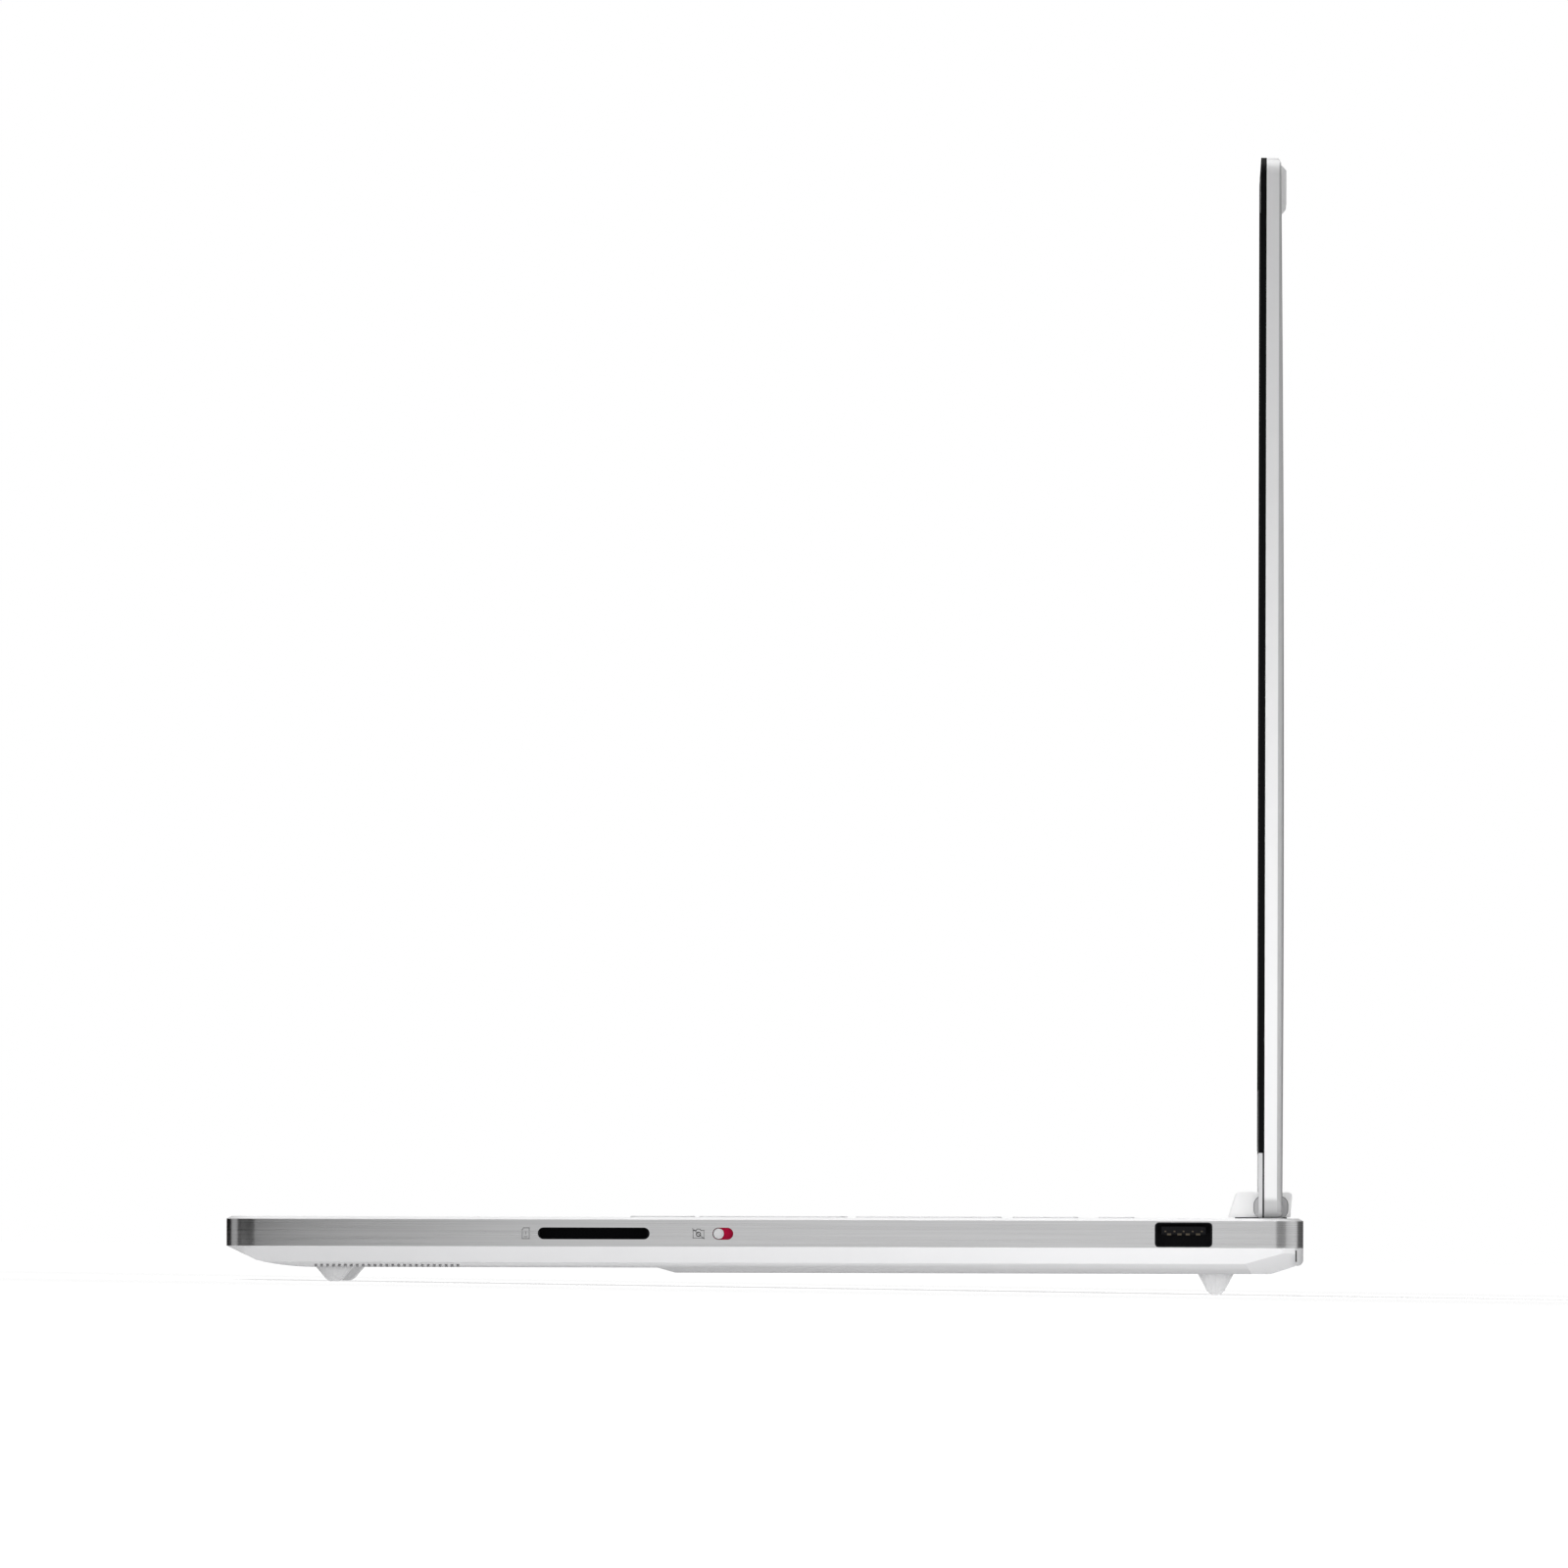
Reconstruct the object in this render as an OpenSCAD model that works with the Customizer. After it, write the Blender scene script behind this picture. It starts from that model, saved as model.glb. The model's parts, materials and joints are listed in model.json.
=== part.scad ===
// Gaming laptop computer, lid open square to the keyboard deck.
// The base is modelled with its deck plane at z = 0; seat() then stands it on its feet.
// +X is the user's right, +Y runs from the user towards the hinges, +Z is up.

/* [Base] */
// Width of the base from side to side
body_w = 362; // [358:1:370]
// Depth of the base from front to rear
body_d = 260; // [257:1:268]
// Radius of the base's corners seen from above
corner_r = 7; // [5:0.5:9]
// Thickness of the top case
deck_t = 1; // [0.9:0.05:1.2]
// Height of the bevel round the top case
deck_bevel_h = 0.66; // [0.5:0.02:0.8]
// How far that bevel runs in
deck_bevel_run = 1.2; // [0.8:0.1:1.5]
// Height of the metal side band
band_h = 6.5; // [6.4:0.1:7.5]
// Wall of the side band
band_wall = 1.6; // [1.3:0.1:1.9]

/* [Bottom cover] */
// Wall of the bottom cover
cover_wall = 1.5; // [1.2:0.1:1.7]
// Depth of the cover below the side band under the palm rest
cover_drop = 5.1; // [5:0.1:6]
// Extra depth of the platform under the cooling
platform_drop = 1.2; // [0.8:0.1:2]
// Distance from the rear edge to the platform's front
platform_d = 151.6; // [148:0.2:153]
// Length of the straight slope under the front edge
nose_run = 7.3; // [5:0.1:9]
// Fall of that slope
nose_drop = 3.5; // [3:0.1:3.8]
// Length of the curve that blends the slope into the bottom
nose_blend = 13.7; // [10:0.1:16]
// Height of the cover's upright side wall
side_wall_h = 3.85; // [3:0.05:4.4]
// Draft of that wall from top to bottom
side_draft = 1; // [0.5:0.1:1.5]
// Run of the slanted edge below the side wall
side_slant = 5.5; // [4:0.1:7]

/* [Feet] */
// Height of the front feet below the deck plane
front_foot_drop = 15.85; // [15:0.05:16.5]
// Height of the rear foot below the deck plane
rear_foot_drop = 18.65; // [17.5:0.05:19.5]
// Distance of the front feet from the front edge
front_foot_setback = 25.55; // [23:0.05:30]
// Distance of the rear foot from the rear edge
rear_foot_setback = 21.1; // [18:0.1:26]
// Depth of the feet where they meet the cover
foot_d = 8.6; // [7:0.1:10]
// Radius of the feet's tips
foot_tip_r = 2.6; // [1.5:0.1:3]
// Worn flat under the tips
foot_flat_h = 0.12; // [0.08:0.01:0.2]
// Length of each front foot
front_foot_l = 54; // [40:1:70]
// Distance of the feet's outer ends from the sides
foot_inset = 31; // [25:1:45]

/* [Lid] */
// Distance of the lid's sides from the base's sides
lid_inset = 1; // [0.5:0.1:2.5]
// Corner radius of the lid
lid_corner_r = 5; // [4.8:0.1:6]
// Thickness of the lid at its lower edge
lid_t_low = 5.7; // [5.6:0.05:6]
// Thickness of the lid halfway up
lid_t_mid = 5.8; // [5.7:0.05:6.1]
// Thickness of the lid at its top
lid_t_top = 4.83; // [4.8:0.05:5.4]
// Rounding of the lid's rear edge
lid_edge_r = 1.4; // [0.8:0.1:1.6]
// Back wall of the lid shell
lid_wall = 1.6; // [1.4:0.1:1.7]
// Rim of the lid shell round its cavity
lid_rim = 2; // [1.6:0.1:2.4]
// Thickness of the display bezel
bezel_t = 1.35; // [1.25:0.05:1.45]
// Thickness of the lip over the panel's edges
bezel_lip_t = 0.6; // [0.5:0.05:0.65]
// Height of the chin strip
chin_h = 15.6; // [15:0.1:17]
// Thickness of the chin strip
chin_t = 0.9; // [0.7:0.05:1]
// Gap between the closed lid and the deck
closed_gap = 0.35; // [0.32:0.01:0.5]
// Gap under the standing lid
standing_gap = 0.2; // [0.15:0.05:0.3]

/* [Display] */
// Margin beside the lit area
screen_side = 7.65; // [7:0.05:10]
// Margin above the lit area
screen_top = 9; // [8.6:0.1:10]
// Margin between the chin strip and the lit area
screen_low = 15.95; // [14.5:0.05:20]
// Thickness of the display panel
panel_t = 2.2; // [1.8:0.1:2.3]
// Height of the camera bump on the back of the lid
bump_h = 11; // [9:0.5:14]
// How far that bump stands out
bump_t = 1.45; // [1:0.05:2]
// Width of that bump
bump_w = 95; // [70:1:120]

/* [Hinges] */
// Distance of the hinge axis from the rear edge
hinge_setback = 7.5; // [7.3:0.1:8]
// Height of the hinge axis above the deck
hinge_lift = 3.65; // [3.6:0.05:3.8]
// Distance of a hinge tower from the base's side
tower_setback = 31; // [28:1:34]
// Width of a hinge tower
tower_w = 55; // [54:1:57]
// Height of a hinge tower
tower_h = 6.35; // [6.3:0.05:6.8]
// Reach of a tower's foot in front of the axis
tower_fore = 10.6; // [10:0.1:11.5]
// Reach of a tower behind the axis
tower_aft = 4.9; // [4.5:0.1:5.1]
// How much a tower's front leans back over its height
tower_lean = 2.1; // [1.5:0.1:2.6]
// Radius of the hinge shaft
shaft_r = 1.3; // [1:0.05:1.35]
// Running clearance of the shaft in its barrel
shaft_gap = 0.05; // [0.02:0.01:0.1]
// Wall of the hinge barrel
barrel_wall = 0.6; // [0.5:0.05:0.65]
// Depth of a knuckle cap seen from the side
cap_d = 8; // [7.5:0.1:8.5]
// Height of a knuckle cap
cap_h = 5.3; // [5.2:0.1:5.8]
// Width of a knuckle cap along the axis
cap_w = 3; // [2.5:0.1:4]

/* [Keys] */
// Distance from row to row
row_pitch = 18.93; // [18.6:0.01:19.1]
// Margin beside the keyboard
keyboard_side = 11.14; // [10.5:0.01:13]
// Width of one key unit in the number pad
pad_unit_w = 17.6; // [17.2:0.01:17.7]
// Space between the main block and the number pad
pad_gap = 2; // [1.5:0.1:2.5]
// Gap between neighbouring keys
key_gap = 3.3; // [3:0.1:3.6]
// Depth of the function keys
function_key_d = 8.75; // [7.5:0.05:9]
// Gap between the function keys and the number row
function_gap = 5; // [4:0.1:6]
// Gap between the space bar's row and the lower arrow keys
arrow_gap = 1.6; // [1.5:0.1:2.5]
// Distance from the rear edge to the back of the function keys
keyboard_setback = 40.9; // [39:0.1:43]
// Corner radius of a key
key_corner_r = 1.5; // [1:0.1:2]
// How far a key stands above the deck
key_proud = 0.28; // [0.2:0.01:0.3]
// Height of a key cap
key_cap_h = 1.63; // [1.5:0.01:1.8]
// Travel of a key
key_travel = 1.5; // [1.3:0.1:1.6]
// Clearance round a key in its hole
key_clear = 0.35; // [0.3:0.05:0.5]
// Thickness of the keyboard's steel plate
plate_t = 0.5; // [0.4:0.05:0.6]

/* [Touchpad and power button] */
// Width of the touchpad
touchpad_w = 120; // [100:1:125]
// Distance from the touchpad to the arrow keys
touchpad_key_gap = 4.27; // [2.5:0.01:14]
// Thickness of the touchpad
touchpad_t = 1.6; // [1.4:0.1:1.7]
// Distance of the touchpad from the front edge
touchpad_setback = 17.5; // [15:0.5:22]
// Gap round the touchpad
touchpad_gap = 0.3; // [0.25:0.05:0.5]
// Free travel under the touchpad's front
click_gap = 0.5; // [0.48:0.01:0.6]
// Width of the power button
power_w = 20; // [14:1:26]
// Depth of the power button
power_d = 6; // [5:0.5:8]
// Travel of the power button
power_travel = 0.6; // [0.4:0.1:0.8]
// Distance of the power button from the rear edge
power_setback = 29; // [27:0.5:31]

/* [Ports] */
// Height of the port centres below the deck
port_drop = 4; // [3.95:0.05:4.05]
// Width of a full-size USB opening
usb_w = 13.1; // [12.8:0.1:13.4]
// Height of a full-size USB opening
usb_h = 5.2; // [5:0.1:5.3]
// Wall of a port's metal shell
port_wall = 0.3; // [0.25:0.05:0.35]
// Length of a full-size USB socket
usb_l = 13.4; // [12:0.1:13.6]
// Distance of the right USB socket from the rear edge
usb_right_setback = 28.9; // [26:0.1:32]
// Distance of the left USB socket from the keyboard
usb_left_gap = 3; // [1:0.5:10]
// Width of the card slot
card_w = 27; // [25:0.1:28]
// Height of the card slot
card_h = 2.85; // [2.5:0.05:3]
// Depth of the card reader
card_l = 25; // [20:0.5:26]
// Distance of the card slot from the front edge
card_setback = 88.7; // [86:0.1:92]
// Length of the camera switch's recess
switch_l = 5; // [4.6:0.1:5.6]
// Height of that recess
switch_h = 2.9; // [2.6:0.1:3.2]
// Distance of that recess from the front edge
switch_setback = 119.9; // [117:0.1:122]
// Travel of the camera switch
switch_travel = 2.2; // [1.8:0.1:2.2]
// Radius of the audio jack's bore
jack_r = 1.8; // [1.75:0.01:1.85]
// Distance of the audio jack from the front edge
jack_setback = 65; // [64:1:75]
// Distance of the power inlet from the rear edge
inlet_setback = 22; // [20:0.5:24]
// Distance of the display socket from the rear edge
hdmi_setback = 38; // [36.5:0.5:40]
// Distance of the rear small USB socket from the rear edge
usb_c_setback = 60; // [55:1:70]
// Distance between the two small USB sockets
usb_c_pitch = 15; // [13:0.5:20]

/* [Inner parts] */
// Thickness of the mainboard
board_t = 1.2; // [1:0.1:1.6]
// Thickness of a blower
fan_h = 7.5; // [6:0.1:7.6]
// Radius of a blower's casing
fan_r = 37; // [35:0.5:37.5]
// Distance of a blower's centre from the side
fan_inset = 63; // [62:0.5:65]
// Distance of a blower's centre from the rear edge
fan_setback = 68; // [67:0.5:70]
// Number of blades on a blower wheel
blade_count = 31; // [17:2:37]
// Thickness of a blade
blade_t = 0.6; // [0.5:0.05:0.8]
// Number of fins in a stack
fin_count = 36; // [20:1:38]
// Gap between the battery and a speaker
battery_side_gap = 11.5; // [5:0.5:30]
// Gap between the battery and the platform's ramp
battery_rear_gap = 10.5; // [9:0.5:22]
// Thickness of the battery
battery_t = 6.4; // [5:0.1:6.5]
// Radius of a cover screw's boss
boss_r = 2; // [1.8:0.1:2.1]
// Radius of a cover screw's shank
screw_r = 1; // [0.8:0.05:1.1]

/* [Hidden] */
$fn = 96;

// Clearances shared by many pieces
fit_gap = 0.1;     // between a piece and the opening that it sits in
run_gap = 0.3;     // between curved faces of different bodies
skin = 0.01;       // thickness of the sheets that a hull joins
over = 1;          // how far a cutter runs past the face that it cuts

// Colours
white = [0.93, 0.93, 0.94];
silver = [0.68, 0.68, 0.69];
pale_grey = [0.80, 0.80, 0.81];
black = [0.03, 0.03, 0.035];
dark_grey = [0.16, 0.16, 0.17];
steel = [0.62, 0.63, 0.65];
copper = [0.72, 0.42, 0.24];
board_green = [0.05, 0.16, 0.10];
crimson = [0.65, 0, 0.2];

// Base levels
half_w = body_w / 2;
front_y = -body_d / 2;
rear_y = body_d / 2;
band_top = -deck_bevel_h;
band_bottom = band_top - band_h;
cover_bottom = band_bottom - cover_drop;
platform_bottom = cover_bottom - platform_drop;
cover_floor = cover_bottom + cover_wall;
platform_floor = platform_bottom + cover_wall;
platform_front = rear_y - platform_d;
platform_ramp = 4.3;
tail_run = 7.8;
tail_rise = 1.85;
grille_t = 2;
grille_drop = 4.3;
nose_end = front_y + nose_run + nose_blend;
nose_rise = cover_drop - nose_drop;
nose_r = (nose_blend * nose_blend + nose_rise * nose_rise) / (2 * nose_rise);

// Stance on the desk
front_foot_y = front_y + front_foot_setback;
rear_foot_y = rear_y - rear_foot_setback;
foot_out = half_w - foot_inset;
tilt = atan((rear_foot_drop - front_foot_drop) / (rear_foot_y - front_foot_y));
lift = rear_foot_drop * cos(tilt) - rear_foot_y * sin(tilt) - foot_flat_h;

// Hinge
hinge_y = rear_y - hinge_setback;
hinge_z = hinge_lift;
tower_out = half_w - tower_setback;
tower_in = tower_out - tower_w;
tower_seam = 0.3;
tower_plinth_inset = 0.9;
tower_round = 1;
tower_heel = 0.5;
lean = tower_lean / tower_h;
notch_gap = 0.6;
notch_in = tower_in - notch_gap;
notch_out = tower_out + cap_w + notch_gap;
barrel_r = shaft_r + shaft_gap + barrel_wall;
barrel_in = tower_in + 10;
barrel_out = tower_out - 1;
shaft_in = tower_in + 39;
neck_t = 2;
// The part of a tower's foot that passes through the top case
tower_hole_in = tower_in + 2;
tower_hole_out = tower_out - 4;
tower_hole_fore = 4;
tower_hole_aft = 3;

// Lid
lid_w = body_w - 2 * lid_inset;
lid_front = hinge_y - hinge_z + closed_gap;
lid_bottom = standing_gap;
lid_top = hinge_z + hinge_y - front_y;
lid_height = lid_top - lid_bottom;
shell_front = lid_front + bezel_t;
chin_back = lid_front + chin_t;
chin_top = lid_bottom + chin_h;
lid_back_max = lid_front + lid_t_mid + 0.1;
screen_recess = 0.7;
screen_z1 = lid_top - screen_top;
screen_z0 = chin_top + screen_low;
screen_h = screen_z1 - screen_z0;
screen_w = lid_w - 2 * screen_side;
screen_frame = 0.5;
panel_side = 2.2;
panel_foot = 4;
panel_head = 1.8;
panel_front = lid_front + screen_recess;
panel_back = panel_front + panel_t;
panel_z0 = screen_z0 - panel_foot;
panel_z1 = screen_z1 + panel_head;
trough_r = 5.1;
trough_wall = 1;
trough_rim = 1.8;
trough_end = half_w - trough_rim;
trough_gap = 0.3;
arm_t = 1;
arm_y = panel_back + fit_gap;
arm_w = 14;
arm_h = 54;
arm_in = notch_out + lid_rim + 1.4;
gasket_groove = 0.4;
gasket_proud = 0.08;
gasket_w = 1;
gasket_inset = 1.6;
lens_r = 1.3;
webcam_z = (panel_z1 + lid_top - lid_rim) / 2;
// The display's cable crosses the left hinge on its axis, so each half is a straight core
cable_r = 0.75;
cable_joint = tower_in - 0.1;

// Keyboard
key_top = key_proud;
key_bottom = key_top - key_cap_h;
plate_top = key_bottom - key_travel - key_clear;
plate_bottom = plate_top - plate_t;
key_d = row_pitch - key_gap;
function_rear = rear_y - keyboard_setback;
number_rear = function_rear - function_key_d - function_gap;
function row_rear(row) = number_rear - row * row_pitch;
arrow_rear = row_rear(4) - key_d - arrow_gap;
arrow_front = arrow_rear - key_d;
one = [1, 1, 1, 1, 1, 1, 1, 1, 1, 1];
backspace_u = 1.45;
number_units = concat(one, [1, 1, 1, backspace_u]);
q_units = concat([1.45], one, [1, 1, 1]);
a_units = concat([1.75], one, [1, 1.7]);
z_units = concat([2.25], one, [2.2]);
bottom_units = [1.25, 1, 1, 1, 5.2, 1, 1, 1, 1, 1];
function total(list, count) = count == 0 ? 0 : list[count - 1] + total(list, count - 1);
main_units = total(number_units, len(number_units));
pad_units = 4;
field_w = body_w - 2 * keyboard_side;
main_w = field_w - pad_gap - pad_units * pad_unit_w;
unit_w = main_w / main_units;
main_x = -field_w / 2;
pad_x = main_x + main_w + pad_gap;
pad_end = pad_x + pad_units * pad_unit_w;
function_main_count = 16;
function_unit_w = main_w / function_main_count;
up_key = 8;
arrow_x = main_x + total(bottom_units, up_key - 1) * unit_w;
field_front = row_rear(4) - key_d;
rib_w = 1.2;
rib_out = 1.4;
space_centre = main_x + (total(bottom_units, 4) + bottom_units[4] / 2) * unit_w;

// Touchpad
touchpad_x = space_centre;
touchpad_front = front_y + touchpad_setback;
touchpad_rear = arrow_front - touchpad_key_gap;
touchpad_d = touchpad_rear - touchpad_front;
bracket_top = -touchpad_t - click_gap - 0.3;
bracket_t = 0.6;
bracket_margin = 3.5;
pivot_d = 2;
dome_r = 4;
power_y = rear_y - power_setback;
power_t = 1.4;

// Ports
card_y = front_y + card_setback;
switch_y = front_y + switch_setback;
usb_right_y = rear_y - usb_right_setback;
usb_left_y = field_front - rib_out - usb_left_gap - port_wall - usb_w / 2;
jack_y = front_y + jack_setback;
inlet_y = rear_y - inlet_setback;
hdmi_y = rear_y - hdmi_setback;
usb_c_y = rear_y - usb_c_setback;
inlet_w = 11;
inlet_h = 4.6;
hdmi_w = 14.6;
hdmi_h = 4.6;
usb_c_w = 8.9;
usb_c_h = 3.2;

// Inner stack
board_top = -port_drop - usb_h / 2 - port_wall;
board_bottom = board_top - board_t;
board_edge = 3.5;
board_rear_y = rear_y - 12;
board_front_y = platform_front + 1.6;
board_mid_rear = rear_y - 32;
board_arm_w = 18;
fan_x = half_w - fan_inset;
board_fan_gap = 5;
board_core_half = fan_x - fan_r - board_fan_gap;
fan_y = rear_y - fan_setback;
fan_top = platform_floor + fan_h;
front_cell_y = nose_end + 0.6;
speaker_w = 42;
speaker_l = 36;
speaker_inset = 9.5;
battery_w = 2 * (half_w - speaker_inset - speaker_w - battery_side_gap);
battery_d = platform_front - platform_ramp - battery_rear_gap - front_cell_y;
card_front_y = board_front_y + 1.5;
memory_x = 5.4;
memory_l = 67.6;
card_d = 30;
drive_x = memory_x + memory_l + 13;
drive_l = 72;
drive_d = 22;
wireless_x = memory_x + memory_l + 19;
wireless_l = 22;
fan_wall = 1.2;
fan_plate = 0.8;
fan_mouth_w = 70;
fan_mouth_y = 42;
fan_eye_r = 22;
wheel_r = 33.5;
hub_r = 13;
pin_r = 1;
pin_gap = 0.05;
wheel_gap = 0.5;
wheel_bottom = platform_floor + fan_plate + wheel_gap;
wheel_top = fan_top - fan_plate - wheel_gap;
die_h = 1.2;
cold_plate_t = 0.6;
cold_plate_w = 34;
cold_plate_d = 28;
pipe_w = 6;
pipe_bottom = platform_floor + 0.35;
pipe_top = board_bottom - die_h - cold_plate_t;
fin_d = 17;
fin_y = fan_y + fan_mouth_y;
fin_top = fan_top - 0.5;
fin_t = 0.35;
die_y = rear_y - 68;
die_x = 27;
vent_w = 66;
vent_pitch = 3.8;
vent_slot = 2.2;

// Cover screws
boss_side_x = half_w - 9;
boss_rear_x = half_w - 14;
screw_head_r = screw_r + 1.1;
screw_head_h = 0.8;
screw_gap = 0.05;
shank_top = board_top - 0.5;
boss_front_x = half_w - 31;
boss_mid_x = 52;
boss_front_y = front_y + 11.5;
boss_side_y = rear_y - 118;
boss_rear_y = rear_y - 11.5;
screw_places = [
    [-boss_front_x, boss_front_y], [-boss_mid_x, boss_front_y], [boss_mid_x, boss_front_y],
    [boss_front_x, boss_front_y], [-boss_side_x, boss_side_y], [boss_side_x, boss_side_y],
    [0, platform_front - 3.4], [0, rear_y - 17], [-boss_rear_x, boss_rear_y], [boss_rear_x, boss_rear_y]
];

// ---------------------------------------------------------------- helpers

// Turns and lifts everything from the deck's own axes onto the desk.
module seat() {
    translate([0, 0, lift])
        rotate([tilt, 0, 0])
            children();
}

// Draws the children and their mirror image on the other side.
module both_sides() {
    children();
    mirror([1, 0, 0]) children();
}

// Extrudes a shape drawn in Y and Z along X, between two places.
module along_x(x0, x1) {
    translate([x0, 0, 0])
        rotate([90, 0, 90])
            linear_extrude(x1 - x0)
                children();
}

// Extrudes a shape drawn in X and Z along Y, between two places.
module along_y(y0, y1) {
    translate([0, y1, 0])
        rotate([90, 0, 0])
            linear_extrude(y1 - y0)
                children();
}

// Extrudes a shape drawn in X and Y upwards, between two levels.
module along_z(z0, z1) {
    translate([0, 0, z0])
        linear_extrude(z1 - z0)
            children();
}

// A rod along X at a place in Y and Z.
module rod_x(x0, x1, y, z, r) {
    translate([x0, y, z])
        rotate([0, 90, 0])
            cylinder(h = x1 - x0, r = r);
}

// A box between two corners.
module block(low, high) {
    translate(low) cube(high - low);
}

// A rectangle with rounded corners about a centre.
module rounded_rect(w, h, r, steps = 8) {
    offset(r = r, $fn = 4 * steps)
        square([w - 2 * r, h - 2 * r], center = true);
}

// The base's outline seen from above.
module base_plan(inset = 0) {
    rounded_rect(body_w - 2 * inset, body_d - 2 * inset, corner_r - inset, 10);
}

// ------------------------------------------------------------- base shell

// Round-ended opening of the card slot or the camera switch, drawn in Y and Z.
module slot_shape(w, h) {
    hull() {
        translate([(h - w) / 2, 0]) circle(d = h, $fn = 48);
        translate([(w - h) / 2, 0]) circle(d = h, $fn = 48);
    }
}

module usb_a_mouth(grow = 0) {
    rounded_rect(usb_w + 2 * grow, usb_h + 2 * grow, 0.5 + grow, 3);
}

module inlet_mouth(grow = 0) {
    rounded_rect(inlet_w + 2 * grow, inlet_h + 2 * grow, 0.8 + grow, 3);
}

module hdmi_mouth(grow = 0) {
    offset(delta = grow)
        polygon([
            [-hdmi_w / 2, hdmi_h / 2], [hdmi_w / 2, hdmi_h / 2], [hdmi_w / 2, -0.6],
            [hdmi_w / 2 - 1.9, -hdmi_h / 2], [1.9 - hdmi_w / 2, -hdmi_h / 2], [-hdmi_w / 2, -0.6]
        ]);
}

module usb_c_mouth(grow = 0) {
    slot_shape(usb_c_w + 2 * grow, usb_c_h + 2 * grow);
}

// All the openings in the band's right side, in Y and Z.
module right_openings() {
    translate([card_y, -port_drop]) slot_shape(card_w, card_h);
    translate([switch_y, -port_drop]) slot_shape(switch_l, switch_h);
    translate([usb_right_y, -port_drop]) usb_a_mouth(port_wall + fit_gap);
}

// All the openings in the band's left side, in Y and Z.
module left_openings() {
    translate([usb_left_y, -port_drop]) usb_a_mouth(port_wall + fit_gap);
    translate([inlet_y, -port_drop]) inlet_mouth(port_wall + fit_gap);
    translate([hdmi_y, -port_drop]) hdmi_mouth(port_wall + fit_gap);
    for (i = [0, 1])
        translate([usb_c_y - i * usb_c_pitch, -port_drop]) usb_c_mouth(port_wall + fit_gap);
    translate([jack_y, -port_drop]) circle(r = jack_r + port_wall + fit_gap, $fn = 48);
}

// A row of upright exhaust slots, in X and Z.
module exhaust_slots(z0, z1) {
    for (x = [-vent_w / 2 : vent_pitch : vent_w / 2])
        translate([fan_x + x - vent_slot / 2, z0]) square([vent_slot, z1 - z0]);
}

module side_frame() {
    vent_low = band_bottom + 1;
    vent_high = band_top - 1.2;
    color(silver)
        difference() {
            along_z(band_bottom, band_top)
                difference() {
                    base_plan();
                    base_plan(band_wall);
                }
            along_x(half_w - band_wall - over, half_w + over) right_openings();
            along_x(-half_w - over, over + band_wall - half_w) left_openings();
            both_sides()
                along_y(rear_y - band_wall - over, rear_y + over) exhaust_slots(vent_low, vent_high);
        }
}

// The two-ended list of a row's key edges is worked out from its unit widths.
module key_shape(x0, x1, rear, d, grow = 0) {
    translate([(x0 + x1) / 2, rear - d / 2])
        rounded_rect(x1 - x0 - key_gap + 2 * grow, d + 2 * grow, key_corner_r + grow, 2);
}

module unit_keys(units, from, to, rear, grow = 0) {
    for (i = [from : to])
        key_shape(main_x + total(units, i) * unit_w, main_x + total(units, i + 1) * unit_w,
                  rear, key_d, grow);
}

module pad_keys(from, to, rear, d = key_d, grow = 0) {
    for (i = [from : to])
        key_shape(pad_x + i * pad_unit_w, pad_x + (i + 1) * pad_unit_w, rear, d, grow);
}

module function_row(from, to, grow = 0) {
    for (i = [from : min(to, function_main_count - 1)])
        key_shape(main_x + i * function_unit_w, main_x + (i + 1) * function_unit_w,
                  function_rear, function_key_d, grow);
    if (to >= function_main_count)
        pad_keys(0, to - function_main_count, function_rear, function_key_d, grow);
}

module lower_arrows(grow = 0) {
    for (i = [up_key - 1 : up_key + 1])
        key_shape(main_x + total(bottom_units, i) * unit_w, main_x + total(bottom_units, i + 1) * unit_w,
                  arrow_rear, key_d, grow);
}

module pad_enter_shape(grow = 0) {
    pad_keys(3, 3, row_rear(3), key_d + row_pitch, grow);
}

module pad_plus_shape(grow = 0) {
    pad_keys(3, 3, row_rear(1), key_d + row_pitch, grow);
}

module pad_zero_shape(grow = 0) {
    key_shape(pad_x, pad_x + 2 * pad_unit_w, row_rear(4), key_d, grow);
}

// Every key's outline at once, for the holes in the top case.
module all_key_shapes(grow) {
    function_row(0, 19, grow);
    unit_keys(number_units, 0, 13, row_rear(0), grow);
    unit_keys(q_units, 0, 13, row_rear(1), grow);
    unit_keys(a_units, 0, 12, row_rear(2), grow);
    unit_keys(z_units, 0, 11, row_rear(3), grow);
    unit_keys(bottom_units, 0, 6, row_rear(4), grow);
    unit_keys(bottom_units, up_key, up_key, row_rear(4), grow);
    lower_arrows(grow);
    pad_keys(0, 3, row_rear(0), key_d, grow);
    pad_keys(0, 2, row_rear(1), key_d, grow);
    pad_keys(0, 2, row_rear(2), key_d, grow);
    pad_keys(0, 2, row_rear(3), key_d, grow);
    pad_zero_shape(grow);
    pad_keys(2, 2, row_rear(4), key_d, grow);
    pad_enter_shape(grow);
    pad_plus_shape(grow);
}

// Outline round the whole keyboard, with the tab that holds the lower arrow keys.
module keyboard_field(grow) {
    translate([main_x - grow, field_front - grow])
        square([field_w + 2 * grow, function_rear - field_front + 2 * grow]);
    translate([arrow_x - grow, arrow_front - grow])
        square([3 * unit_w + 2 * grow, field_front - arrow_front]);
}

// Lowest point of the bottom cover's outside at a distance from the middle.
function cover_under(y) =
    y < nose_end ? cover_bottom + nose_r - sqrt(nose_r * nose_r - (nose_end - y) * (nose_end - y))
    : y < platform_front ? cover_bottom : platform_bottom;

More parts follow.
